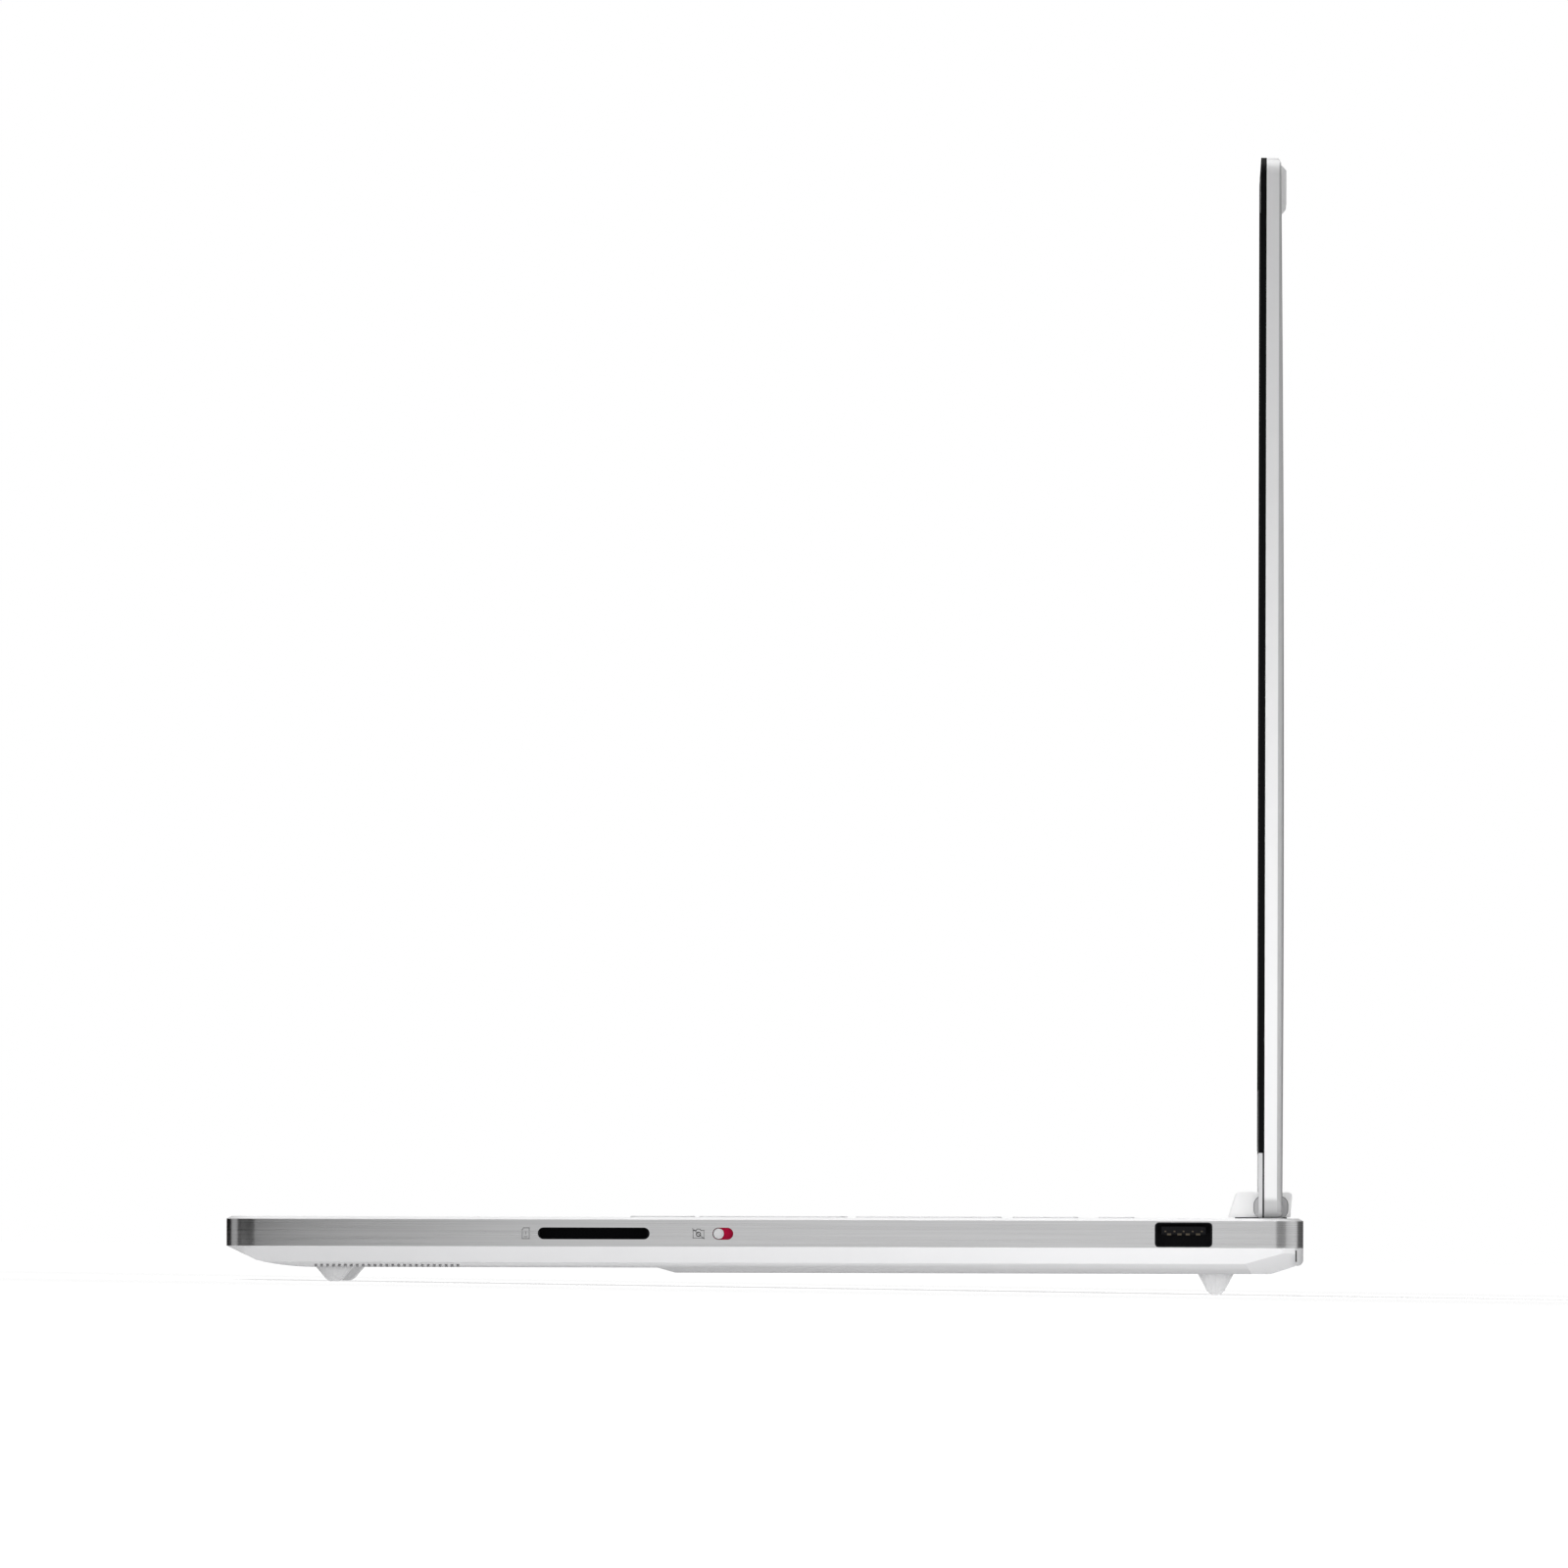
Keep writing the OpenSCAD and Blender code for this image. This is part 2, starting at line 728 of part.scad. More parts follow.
module screw_bosses() {
    for (p = screw_places)
        translate([p.x, p.y, 0])
            along_z(cover_under(p.y - boss_r) + cover_wall + fit_gap, -deck_t / 2)
                circle(r = boss_r, $fn = 32);
}

module screw_bores() {
    for (p = screw_places)
        translate([p.x, p.y, cover_bottom])
            cylinder(h = shank_top + over - cover_bottom, r = screw_r + screw_gap, $fn = 32);
}

// The trough in the rear of the deck that the lid's lower edge turns in.
module trough(r, x_in, x_out) {
    rod_x(x_in, x_out, hinge_y, hinge_z, r);
}

module troughs(r, end_gap) {
    trough(r, -tower_in + trough_gap - end_gap, tower_in - trough_gap + end_gap);
    both_sides() trough(r, notch_out - trough_gap - end_gap, trough_end);
}

// Outline round the touchpad, grown by a margin, in X and Y.
module bracket_plan(margin) {
    translate([touchpad_x, (touchpad_front + touchpad_rear) / 2])
        square([touchpad_w + 2 * margin, touchpad_d + 2 * margin], center = true);
}

module top_case() {
    ring_top = -deck_t;
    color(white)
        difference() {
            union() {
                hull() {
                    along_z(band_top, band_top + skin) base_plan();
                    along_z(-skin, 0) base_plan(deck_bevel_run);
                }
                along_z(-deck_t, band_top) base_plan(band_wall + fit_gap);
                along_z(plate_top, ring_top)
                    difference() {
                        keyboard_field(rib_out);
                        keyboard_field(rib_out - rib_w);
                    }
                along_z(bracket_top, ring_top)
                    difference() {
                        bracket_plan(bracket_margin);
                        bracket_plan(bracket_margin - rib_w);
                    }
                difference() {
                    screw_bosses();
                    troughs(trough_r, 0);
                }
                intersection() {
                    troughs(trough_r + trough_wall, trough_wall);
                    along_z(band_bottom, -deck_t) base_plan(band_wall + fit_gap);
                }
            }
            along_z(-deck_t - over, over) all_key_shapes(key_clear);
            along_z(-deck_t - over, over)
                translate([touchpad_x, (touchpad_front + touchpad_rear) / 2])
                    rounded_rect(touchpad_w + 2 * touchpad_gap, touchpad_d + 2 * touchpad_gap, 3, 6);
            along_z(-deck_t - over, over)
                translate([0, power_y])
                    rounded_rect(power_w + 2 * run_gap, power_d + 2 * run_gap, power_d / 2, 8);
            troughs(trough_r, 0);
            both_sides()
                block([tower_hole_in, hinge_y - tower_hole_fore, -deck_t - over],
                      [tower_hole_out, hinge_y + tower_hole_aft, over]);
            screw_bores();
        }
}

// Side view of the bottom cover, in Y and Z, with its rim at a chosen level.
module cover_profile(rim) {
    steps = 8;
    blend_angle = asin(nose_blend / nose_r);
    polygon(concat(
        [[front_y, rim], [front_y, band_bottom], [front_y + nose_run, band_bottom - nose_drop]],
        [for (i = [1 : steps])
            let (a = blend_angle * (1 - i / steps))
                [nose_end - nose_r * sin(a), cover_bottom + nose_r * (1 - cos(a))]],
        [[platform_front - platform_ramp, cover_bottom], [platform_front, platform_bottom],
         [rear_y - tail_run, platform_bottom], [rear_y - grille_t, platform_bottom + tail_rise],
         [rear_y - grille_t, rim]]
    ));
}

// Front view of the bottom cover, in X and Z.
module cover_section(rim) {
    side_foot = band_bottom - side_wall_h;
    slant_x = half_w - side_draft - side_slant;
    polygon([
        [-half_w, rim], [-half_w, band_bottom], [side_draft - half_w, side_foot],
        [-slant_x, platform_bottom], [slant_x, platform_bottom],
        [half_w - side_draft, side_foot], [half_w, band_bottom], [half_w, rim]
    ]);
}

// The cover's form with its walls moved in by a chosen amount.
module cover_form(inset, rim) {
    intersection() {
        along_x(-half_w, half_w) offset(delta = -inset) cover_profile(rim + inset);
        along_y(front_y, rear_y) offset(delta = -inset) cover_section(rim + inset);
        along_z(platform_bottom, rim + over) base_plan(inset);
    }
}

// Slanted facet that lifts the cover's lower edge at the rear corners, moved in by a chosen amount.
module rear_corner_facet(inset) {
    translate([half_w - side_draft, rear_y - 14, band_bottom - side_wall_h])
        rotate([12.4, -27.4, 0])
            block([-30, -30, -30], [30, 30, inset]);
}

// Sound slots near the front corners, in X and Y.
module speaker_slots() {
    slot_count = 25;
    slot_pitch = 1.43;
    slot_w = 0.7;
    slot_l = 9;
    for (i = [0 : slot_count - 1])
        translate([half_w - 2.1 - slot_l, front_foot_y - 4.3 + i * slot_pitch]) square([slot_l, slot_w]);
}

// Air intake slots below a blower, in X and Y.
module intake_slots() {
    rows = 11;
    row_step = 4.2;
    slot_l = 24;
    for (column = [-1 : 1], row = [0 : rows - 1])
        translate([fan_x + column * (slot_l + 3), fan_y + (row - (rows - 1) / 2) * row_step])
            rounded_rect(slot_l, 2, 0.95, 3);
}

module bottom_cover() {
    vent_low = band_bottom - grille_drop + 0.9;
    color(white)
        difference() {
            cover_form(0, band_bottom);
            difference() {
                cover_form(cover_wall, band_bottom + over);
                both_sides() rear_corner_facet(cover_wall);
            }
            both_sides() {
                rear_corner_facet(0);
                along_z(cover_bottom - over, cover_floor + 0.4) speaker_slots();
                along_z(platform_bottom - over, platform_floor + over) intake_slots();
                along_y(rear_y - grille_t - cover_wall - over, rear_y - grille_t + over)
                    exhaust_slots(vent_low, band_bottom - 1.2);
            }
            for (p = screw_places)
                translate([p.x, p.y, cover_under(p.y + screw_head_r)]) {
                    translate([0, 0, -over])
                        cylinder(h = over + screw_head_h + fit_gap, r = screw_head_r + 0.2, $fn = 32);
                    cylinder(h = 3 * cover_wall, r = screw_r + 0.3, $fn = 32);
                }
        }
}

// One foot: a bar along X with a rounded V section, worn flat on the desk.
module foot(x0, x1, y, drop, top) {
    difference() {
        intersection() {
            along_x(x0, x1)
                hull() {
                    translate([y - foot_d / 2, top - skin]) square([foot_d, skin]);
                    translate([y, foot_tip_r - drop]) circle(r = foot_tip_r, $fn = 48);
                }
            along_z(-drop - over, top)
                translate([(x0 + x1) / 2, y]) rounded_rect(x1 - x0, foot_d, foot_d / 2 - skin, 8);
        }
        rotate([-tilt, 0, 0])
            block([-half_w, front_y, -lift - 5], [half_w, rear_y, -lift]);
    }
}

module front_feet() {
    color(pale_grey)
        both_sides()
            foot(foot_out - front_foot_l, foot_out, front_foot_y, front_foot_drop, cover_bottom);
}

module rear_foot() {
    color(pale_grey)
        foot(-foot_out, foot_out, rear_foot_y, rear_foot_drop, platform_bottom);
}

module rear_grille() {
    grille_low = band_bottom - grille_drop;
    grille_r = 1.4;
    color(pale_grey)
        difference() {
            intersection() {
                along_z(grille_low - over, band_bottom)
                    intersection() {
                        base_plan();
                        translate([-half_w, rear_y - grille_t]) square([body_w, grille_t + over]);
                    }
                along_x(-half_w, half_w)
                    difference() {
                        translate([rear_y - grille_t - over, grille_low])
                            square([grille_t + over, grille_drop + over]);
                        translate([rear_y - grille_r, grille_low])
                            difference() {
                                translate([0, -over]) square([grille_r + over, grille_r + over]);
                                translate([0, grille_r]) circle(r = grille_r, $fn = 48);
                            }
                    }
            }
            both_sides()
                along_y(rear_y - grille_t - over, rear_y + over)
                    exhaust_slots(grille_low + 0.9, band_bottom - 1.2);
        }
}

module cover_screws() {
    color(steel)
        for (p = screw_places)
            translate([p.x, p.y, cover_under(p.y + screw_head_r)]) {
                cylinder(h = screw_head_h, r = screw_head_r, $fn = 32);
                cylinder(h = shank_top - cover_under(p.y + screw_head_r), r = screw_r, $fn = 32);
            }
}

// ------------------------------------------------------------ inner parts

// Cells side by side in a thin tray, resting on the bottom cover.
module battery() {
    cells = 4;
    cell_w = (battery_w - 2) / cells;
    tray_t = 1;
    color(black)
        translate([0, front_cell_y + battery_d / 2, cover_floor]) {
            linear_extrude(tray_t) square([battery_w, battery_d], center = true);
            for (i = [0 : cells - 1])
                translate([(i - (cells - 1) / 2) * cell_w, 0, tray_t])
                    linear_extrude(battery_t - tray_t)
                        rounded_rect(cell_w - 1, battery_d - 2, 2, 3);
        }
}

// Outline of the mainboard: a core between the blowers, a cross bar and an arm along each side.
module board_outline() {
    half = half_w - board_edge;
    arm_front_y = front_cell_y + speaker_l + 2.4;
    difference() {
        union() {
            translate([-board_core_half, board_front_y])
                square([2 * board_core_half, board_mid_rear - board_front_y]);
            translate([-half, board_front_y]) square([2 * half, fan_y - fan_r - 2 - board_front_y]);
            for (side = [-1, 1])
                translate([side * (half - board_arm_w / 2) - board_arm_w / 2, arm_front_y])
                    square([board_arm_w, board_rear_y - arm_front_y]);
        }
        for (p = screw_places)
            translate(p) circle(r = boss_r + 0.5, $fn = 32);
    }
}

module mainboard() {
    color(board_green) {
        along_z(board_bottom, board_top) board_outline();
        for (side = [-1, 1])
            translate([side * die_x, die_y, board_bottom - die_h])
                linear_extrude(die_h) square([24, 20], center = true);
        for (x = [10 - board_core_half : 12 : board_core_half - 10])
            if (abs(abs(x) - die_x) > 2 * pipe_w)
                translate([x, die_y + 24, 0])
                    along_z(board_bottom - 2, board_bottom) square([7, 7], center = true);
    }
}

// One flat heat pipe from a chip to a fin stack, as a bent strip seen from above.
module pipe_path(start_x, y) {
    bend = 12;
    for (leg = [
        [[start_x, die_y - 8], [start_x, y - bend]], [[start_x, y - bend], [start_x + bend, y]],
        [[start_x + bend, y], [fan_x + fan_mouth_w / 2 - pipe_w, y]]
    ])
        hull() {
            translate(leg[0]) circle(d = pipe_w, $fn = 24);
            translate(leg[1]) circle(d = pipe_w, $fn = 24);
        }
}

module heat_pipes() {
    color(copper)
        both_sides() {
            along_z(pipe_bottom, pipe_top) {
                pipe_path(die_x - 5, fin_y + fin_d - 4.5);
                pipe_path(die_x + 5, fin_y + 4.5);
            }
            along_z(pipe_top, pipe_top + cold_plate_t)
                translate([die_x, die_y]) rounded_rect(cold_plate_w, cold_plate_d, 2, 3);
        }
}

// Thin upright plates on a common foot, standing on the heat pipes.
module fin_stacks() {
    foot_t = 0.5;
    pitch = (fan_mouth_w - fin_t) / (fin_count - 1);
    color(steel)
        both_sides()
            along_y(fin_y + fit_gap, fin_y + fin_d)
                translate([fan_x - fan_mouth_w / 2, pipe_top]) {
                    square([fan_mouth_w, foot_t]);
                    for (i = [0 : fin_count - 1])
                        translate([i * pitch, 0]) square([fin_t, fin_top - pipe_top]);
                }
}

// Outline of a blower casing about its own centre, with its mouth towards the rear.
module fan_outline(inset) {
    half = fan_mouth_w / 2 - inset;
    hull() {
        circle(r = fan_r - inset);
        translate([-half, 0]) square([2 * half, fan_mouth_y]);
    }
}

module fan_casing() {
    translate([fan_x, fan_y, 0]) {
        difference() {
            along_z(platform_floor, fan_top) fan_outline(0);
            along_z(platform_floor + fan_plate, fan_top - fan_plate)
                intersection() {
                    fan_outline(fan_wall);
                    translate([-fan_r, -fan_r]) square([2 * fan_r, fan_r + fan_mouth_y - 3 * over]);
                }
            along_z(platform_floor + fan_plate, fan_top - fan_plate)
                translate([fan_wall - fan_mouth_w / 2, fan_mouth_y / 2])
                    square([fan_mouth_w - 2 * fan_wall, fan_mouth_y]);
            along_z(platform_floor - over, platform_floor + fan_plate + over) circle(r = fan_eye_r);
        }
        along_z(wheel_bottom, fan_top - fan_plate / 2) circle(r = pin_r, $fn = 48);
    }
}

module fan_housings() {
    color(dark_grey) both_sides() fan_casing();
}

// One blade of a blower wheel: a strip that sweeps back as it runs out.
module blade() {
    steps = 6;
    sweep = 24;
    function blade_point(t, side) =
        let (r = hub_r - 0.5 + t * (wheel_r - hub_r + 0.5),
             a = sweep * t * t + side * blade_t / 2 / r * 180 / PI)
            [r * cos(a), r * sin(a)];
    polygon(concat(
        [for (i = [0 : steps]) blade_point(i / steps, -1)],
        [for (i = [steps : -1 : 0]) blade_point(i / steps, 1)]
    ));
}

module fan_wheel() {
    translate([fan_x, fan_y, 0])
        difference() {
            union() {
                along_z(wheel_bottom, wheel_top) circle(r = hub_r);
                along_z(wheel_bottom + 0.4, wheel_top - 0.2)
                    for (i = [0 : blade_count - 1])
                        rotate(i * 360 / blade_count) blade();
            }
            along_z(wheel_bottom - over, wheel_top + over) circle(r = pin_r + pin_gap, $fn = 48);
        }
}

module fan_wheel_left() {
    color(black) mirror([1, 0, 0]) fan_wheel();
}

module fan_wheel_right() {
    color(black) fan_wheel();
}

// A card that hangs from its connector under the mainboard.
module card(x, y, w, d, connector_h) {
    card_t = 1;
    translate([x, y, board_bottom - connector_h]) cube([w, 4, connector_h]);
    translate([x, y + 2, board_bottom - connector_h + 0.8]) cube([w, d - 2, card_t]);
    for (i = [0.15, 0.5])
        translate([x + i * w, y + 0.3 * d, board_bottom - connector_h + 0.8 + card_t - skin])
            cube([0.28 * w, 0.5 * d, 0.8]);
}

module solid_state_drive() {
    color(dark_grey) card(drive_x, card_front_y, drive_l, drive_d, 2.6);
}

module memory_modules() {
    color(board_green) {
        card(-memory_x - memory_l, card_front_y, memory_l, card_d, 3.2);
        card(memory_x, card_front_y, memory_l, card_d, 3.2);
    }
}

module wireless_card() {
    color(board_green) card(-wireless_x - wireless_l, card_front_y, wireless_l, card_d, 2.6);
}

// Sealed sound boxes beside the battery, each with a driver on top.
module speakers() {
    speaker_h = 6.6;
    speaker_top = cover_floor + speaker_h;
    color(black)
        both_sides()
            translate([half_w - speaker_inset - speaker_w / 2, front_cell_y + speaker_l / 2, 0])
                difference() {
                    along_z(cover_floor, speaker_top) rounded_rect(speaker_w, speaker_l, 4, 4);
                    translate([0, 0, speaker_top - 1.5])
                        difference() {
                            cylinder(h = 1.5 + over, r = 12);
                            cylinder(h = 1.1, r1 = 9, r2 = 6);
                        }
                }
}

// Steel plate under the keys, with posts that carry the mainboard.
module keyboard_plate() {
    post_r = 2;
    tab_w = 26;
    core_x = board_core_half - 14;
    outer_x = half_w - 41;
    post_places = [
        [-core_x, board_mid_rear - 8], [core_x, board_mid_rear - 8],
        [-core_x, board_front_y + 8], [core_x, board_front_y + 8],
        [-outer_x, board_front_y + 12], [outer_x, board_front_y + 12], [0, board_mid_rear - 30]
    ];
    power_nub_top = -power_t - power_travel - 0.1;
    color(steel) {
        along_z(plate_bottom, plate_top)
            difference() {
                union() {
                    keyboard_field(rib_out);
                    translate([-tab_w / 2, function_rear]) square([tab_w, power_y + 5 - function_rear]);
                }
                for (p = screw_places)
                    translate(p) circle(r = boss_r + 0.5, $fn = 32);
            }
        for (p = post_places)
            translate([p.x, p.y, 0]) along_z(board_top, plate_bottom) circle(r = post_r, $fn = 32);
        translate([0, power_y, 0]) along_z(plate_top, power_nub_top) circle(r = 1.5, $fn = 32);
    }
}

// ------------------------------------------------------------------ ports

// A metal port shell along X, open at the right, with its contact tongue.
module usb_a_socket() {
    tongue_t = 1.9;
    along_x(-usb_l, 0) difference() {
        usb_a_mouth(port_wall);
        usb_a_mouth();
    }
    along_x(-usb_l, -usb_l + 0.6) usb_a_mouth(port_wall);
    along_x(-usb_l, -2)
        translate([1.2 - usb_w / 2, 0.1]) square([usb_w - 2.4, tongue_t]);
}

module at_right(y) {
    translate([half_w - fit_gap, y, -port_drop]) children();
}

module at_left(y) {
    translate([fit_gap - half_w, y, -port_drop]) mirror([1, 0, 0]) children();
}

module usb_a_ports() {
    color(dark_grey) {
        at_right(usb_right_y) usb_a_socket();
        at_left(usb_left_y) usb_a_socket();
    }
}

// Card reader behind the side band, standing on the mainboard.
module card_reader() {
    lip = 0.9;
    reader_x = half_w - band_wall - fit_gap;
    color(black)
        difference() {
            block([reader_x - card_l, card_y - card_w / 2 - lip, board_top],
                  [reader_x, card_y + card_w / 2 + lip, card_h / 2 + lip - port_drop]);
            along_x(reader_x - card_l + 1, reader_x + over)
                translate([card_y, -port_drop]) square([card_w - 1, card_h - 0.4], center = true);
        }
}

module hdmi_port() {
    port_l = 9.3;
    color(dark_grey)
        at_left(hdmi_y) {
            along_x(-port_l, 0) difference() {
                hdmi_mouth(port_wall);
                hdmi_mouth();
            }
            along_x(-port_l, -port_l + 0.6) hdmi_mouth(port_wall);
            along_x(-port_l, -1) translate([-5, -0.4]) square([10, 0.9]);
        }
}

module usb_c_ports() {
    port_l = 7.6;
    color(dark_grey)
        for (i = [0, 1])
            at_left(usb_c_y - i * usb_c_pitch) {
                along_x(-port_l, 0) difference() {
                    usb_c_mouth(port_wall);
                    usb_c_mouth();
                }
                along_x(-port_l, -port_l + 0.6) usb_c_mouth(port_wall);
                along_x(-port_l, -1) square([6.6, 0.7], center = true);
                along_x(-port_l, -band_wall - 0.6)
                    translate([-usb_c_w / 2, board_top + port_drop])
                        square([usb_c_w, -board_top - port_drop - usb_c_h / 2]);
            }
}

module power_inlet() {
    port_l = 10;
    color(dark_grey)
        at_left(inlet_y) {
            along_x(-port_l, 0) difference() {
                inlet_mouth(port_wall);
                inlet_mouth();
            }
            along_x(-port_l, -port_l + 1) inlet_mouth(port_wall);
            along_x(-port_l, -1) square([5, 1.4], center = true);
        }
}

// Round socket in a small block, with a blind bore that opens to the left.
module audio_jack() {
    jack_l = 13;
    block_w = 6;
    color(black)
        at_left(jack_y)
            difference() {
                union() {
                    rod_x(-jack_l, 0, 0, 0, jack_r + port_wall);
                    along_x(-jack_l, -band_wall - fit_gap)
                        translate([-block_w / 2, board_top + port_drop])
                            square([block_w, port_drop - board_top - port_drop - 1.6]);
                }
                rod_x(1 - jack_l, over, 0, 0, jack_r);
            }
}

// ----------------------------------------------------------------- hinges

// Side view of a hinge tower, in Y and Z.
module tower_profile() {
    low = hinge_y - tower_fore;
    heel = hinge_y + tower_aft - tower_heel;
    offset(r = tower_round, $fn = 48)
        offset(delta = -tower_round)
            polygon([
                [low, tower_seam - 2], [low + lean * tower_seam, tower_seam], [low + tower_lean, tower_h],
                [hinge_y + tower_aft, tower_h], [heel, tower_seam], [heel, tower_seam - 2]
            ]);
}

module hinge_tower() {
    difference() {
        union() {
            intersection() {
                along_x(tower_in, tower_out) tower_profile();
                block([0, 0, tower_seam], [body_w, body_d, tower_h + over]);
            }
            block([tower_in + tower_plinth_inset, hinge_y - tower_fore + 2 * tower_plinth_inset, 0],
                  [tower_out - tower_plinth_inset, hinge_y + tower_aft - tower_heel - tower_plinth_inset,
                   tower_seam]);
        }
        rod_x(barrel_in - fit_gap, tower_out + over, hinge_y, hinge_z, barrel_r + fit_gap);
        rod_x(tower_in - over, barrel_in, hinge_y, hinge_z, shaft_r + fit_gap);
        block([barrel_in - fit_gap, hinge_y - neck_t / 2 - fit_gap, -over],
              [barrel_out + fit_gap, hinge_y + neck_t / 2 + fit_gap, hinge_z]);
        block([tower_hole_in + over, hinge_y - shaft_r - fit_gap, -over],
              [tower_hole_in + over + 3, hinge_y + shaft_r + fit_gap, hinge_z]);
    }
}

module hinge_towers() {
    color(white) both_sides() hinge_tower();
}

// Steel bracket: a barrel on a neck, with a flange screwed under the top case.
module hinge_bracket() {
    flange_t = 1.5;
    flange_in = tower_in + 7;
    flange_out = tower_out - 3;
    flange_d = 27;
    flange_fore = 10;
    hole_fore = 18;
    difference() {
        union() {
            rod_x(barrel_in, barrel_out, hinge_y, hinge_z, barrel_r);
            block([barrel_in, hinge_y - neck_t / 2, -deck_t - flange_t],
                  [barrel_out - 4, hinge_y + neck_t / 2, hinge_z - shaft_r - 0.5]);
            difference() {
                along_z(-deck_t - flange_t, -deck_t)
                    translate([(flange_in + flange_out) / 2, hinge_y - flange_fore])
                        rounded_rect(flange_out - flange_in, flange_d, 3, 4);
                for (x = [flange_in + 6, (flange_in + flange_out) / 2, flange_out - 6])
                    translate([x, hinge_y - hole_fore, -deck_t - flange_t - over])
                        cylinder(h = flange_t + over, r = 1.4, $fn = 32);
            }
        }
        rod_x(shaft_in - 2, barrel_out + over, hinge_y, hinge_z, shaft_r + shaft_gap);
    }
}

module hinge_brackets() {
    color(steel) both_sides() hinge_bracket();
}

module knuckle_cap() {
    cap_r = 1.9;
    difference() {
        along_x(tower_out, tower_out + cap_w)
            translate([hinge_y - 0.3, cap_h / 2])
                rounded_rect(cap_d, cap_h, cap_r, 8);
        rod_x(tower_out - over, tower_out + cap_w + over, hinge_y, hinge_z, shaft_r + fit_gap);
    }
}

module knuckle_caps() {
    color(silver) both_sides() knuckle_cap();
}

// Shaft and flat arm that carry the lid.
module hinge_arm() {
    shaft_out = arm_in + arm_w;
    difference() {
        union() {
            rod_x(shaft_in, shaft_out, hinge_y, hinge_z, shaft_r);
            along_y(arm_y, arm_y + arm_t)
                translate([arm_in, hinge_z]) {
                    square([arm_w, arm_h - arm_w / 2]);
                    translate([arm_w / 2, arm_h - arm_w / 2]) circle(d = arm_w, $fn = 48);
                }
        }
        for (z = [16, 32, 48])
            translate([arm_in + arm_w / 2, arm_y - over, hinge_z + z])
                rotate([-90, 0, 0]) cylinder(h = arm_t + 2 * over, r = 1.4, $fn = 32);
    }
}

module hinge_arms() {
    color(steel) both_sides() hinge_arm();
}

// --------------------------------------------------------------- touchpad

module touchpad() {
    color(pale_grey)
        translate([touchpad_x, (touchpad_front + touchpad_rear) / 2, 0])
            along_z(-touchpad_t, 0) rounded_rect(touchpad_w, touchpad_d, 2.7, 6);
}

// Plate under the touchpad, with the strip that it tilts on and its click dome.
module touchpad_bracket() {
    pad_centre_y = (touchpad_front + touchpad_rear) / 2;
    color(steel) {
        difference() {
            along_z(bracket_top - bracket_t, bracket_top) bracket_plan(bracket_margin);
            for (x = [-1, 1])
                translate([touchpad_x + x * touchpad_w / 4, pad_centre_y, -10])
                    along_z(0, 10) rounded_rect(touchpad_w / 3, touchpad_d / 2, 4, 4);
        }
        block([touchpad_x - touchpad_w / 2 + 5, touchpad_rear - pivot_d, bracket_top],
              [touchpad_x + touchpad_w / 2 - 5, touchpad_rear, -touchpad_t]);
        translate([touchpad_x, touchpad_front + 10, bracket_top])
            cylinder(h = -touchpad_t - click_gap - bracket_top, r1 = dome_r, r2 = dome_r / 2, $fn = 48);
    }
}

module power_button() {
    color(white)
        translate([0, power_y, 0])
            along_z(-power_t, 0) rounded_rect(power_w, power_d, power_d / 2 - skin, 8);
}

// Coloured slide behind the side band with the round knob that stands in the recess.
module shutter_slider() {
    slide_t = 0.8;
    slide_x = half_w - band_wall - fit_gap - slide_t;
    knob_r = switch_h / 2 - 0.15;
    knob_y = switch_y - switch_l / 2 + knob_r + 0.15;
    color(crimson) {
        block([slide_x, knob_y - 4, -port_drop - 2.2], [slide_x + slide_t, knob_y + 8.2, 2.2 - port_drop]);
        rod_x(slide_x + slide_t / 2, half_w - 0.15, knob_y, -port_drop, knob_r);
    }
}

module shutter_housing() {
    housing_x = half_w - band_wall - 2 * fit_gap - 0.8;
    color(black)
        block([housing_x - 3, switch_y - 7, board_top], [housing_x, switch_y + 10, 2.4 - port_drop]);
}

// -------------------------------------------------------------------- lid

// How high the notch over a tower reaches at a depth through the standing lid.
function notch_top(y) = hinge_z + tower_fore - lean * (hinge_z + y - hinge_y) + notch_gap;

// The lid's outline from the front, with a notch over each tower, in X and Z.
module lid_outline() {
    notch_h = notch_top(lid_front) - lid_bottom;
    difference() {
        translate([0, (lid_bottom + lid_top) / 2]) rounded_rect(lid_w, lid_height, lid_corner_r, 12);
        for (side = [-1, 1])
            translate([side * (notch_in + notch_out) / 2, lid_bottom + (notch_h - over) / 2])
                square([notch_out - notch_in, notch_h + over], center = true);
    }
}

// Thickness of the lid at a share of its height, on one smooth curve.
function lid_thickness(t) =
    let (bow = 2 * (lid_t_low + lid_t_top - 2 * lid_t_mid))
        lid_t_low + (lid_t_top - lid_t_low - bow) * t + bow * t * t;

// Side view of the lid, in Y and Z, reaching forwards of its front face.
module lid_profile(inset) {
    steps = 10;
    polygon(concat(
        [[lid_front - 3, lid_bottom + inset]],
        [for (i = [0 : steps])
            let (t = i / steps,
                 z = max(lid_bottom + inset, min(lid_top - inset, lid_bottom + t * lid_height)))
                [lid_front + lid_thickness(t) - (inset > 0 ? lid_wall : 0), z]],
        [[lid_front - 3, lid_top - inset]]
    ));
}

module notch_wedges() {
    low_y = lid_front - over;
    high_y = lid_back_max + over;
    both_sides()
        along_x(notch_in, notch_out)
            polygon([
                [low_y, lid_bottom - over], [high_y, lid_bottom - over],
                [high_y, notch_top(high_y)], [low_y, notch_top(low_y)]
            ]);
}

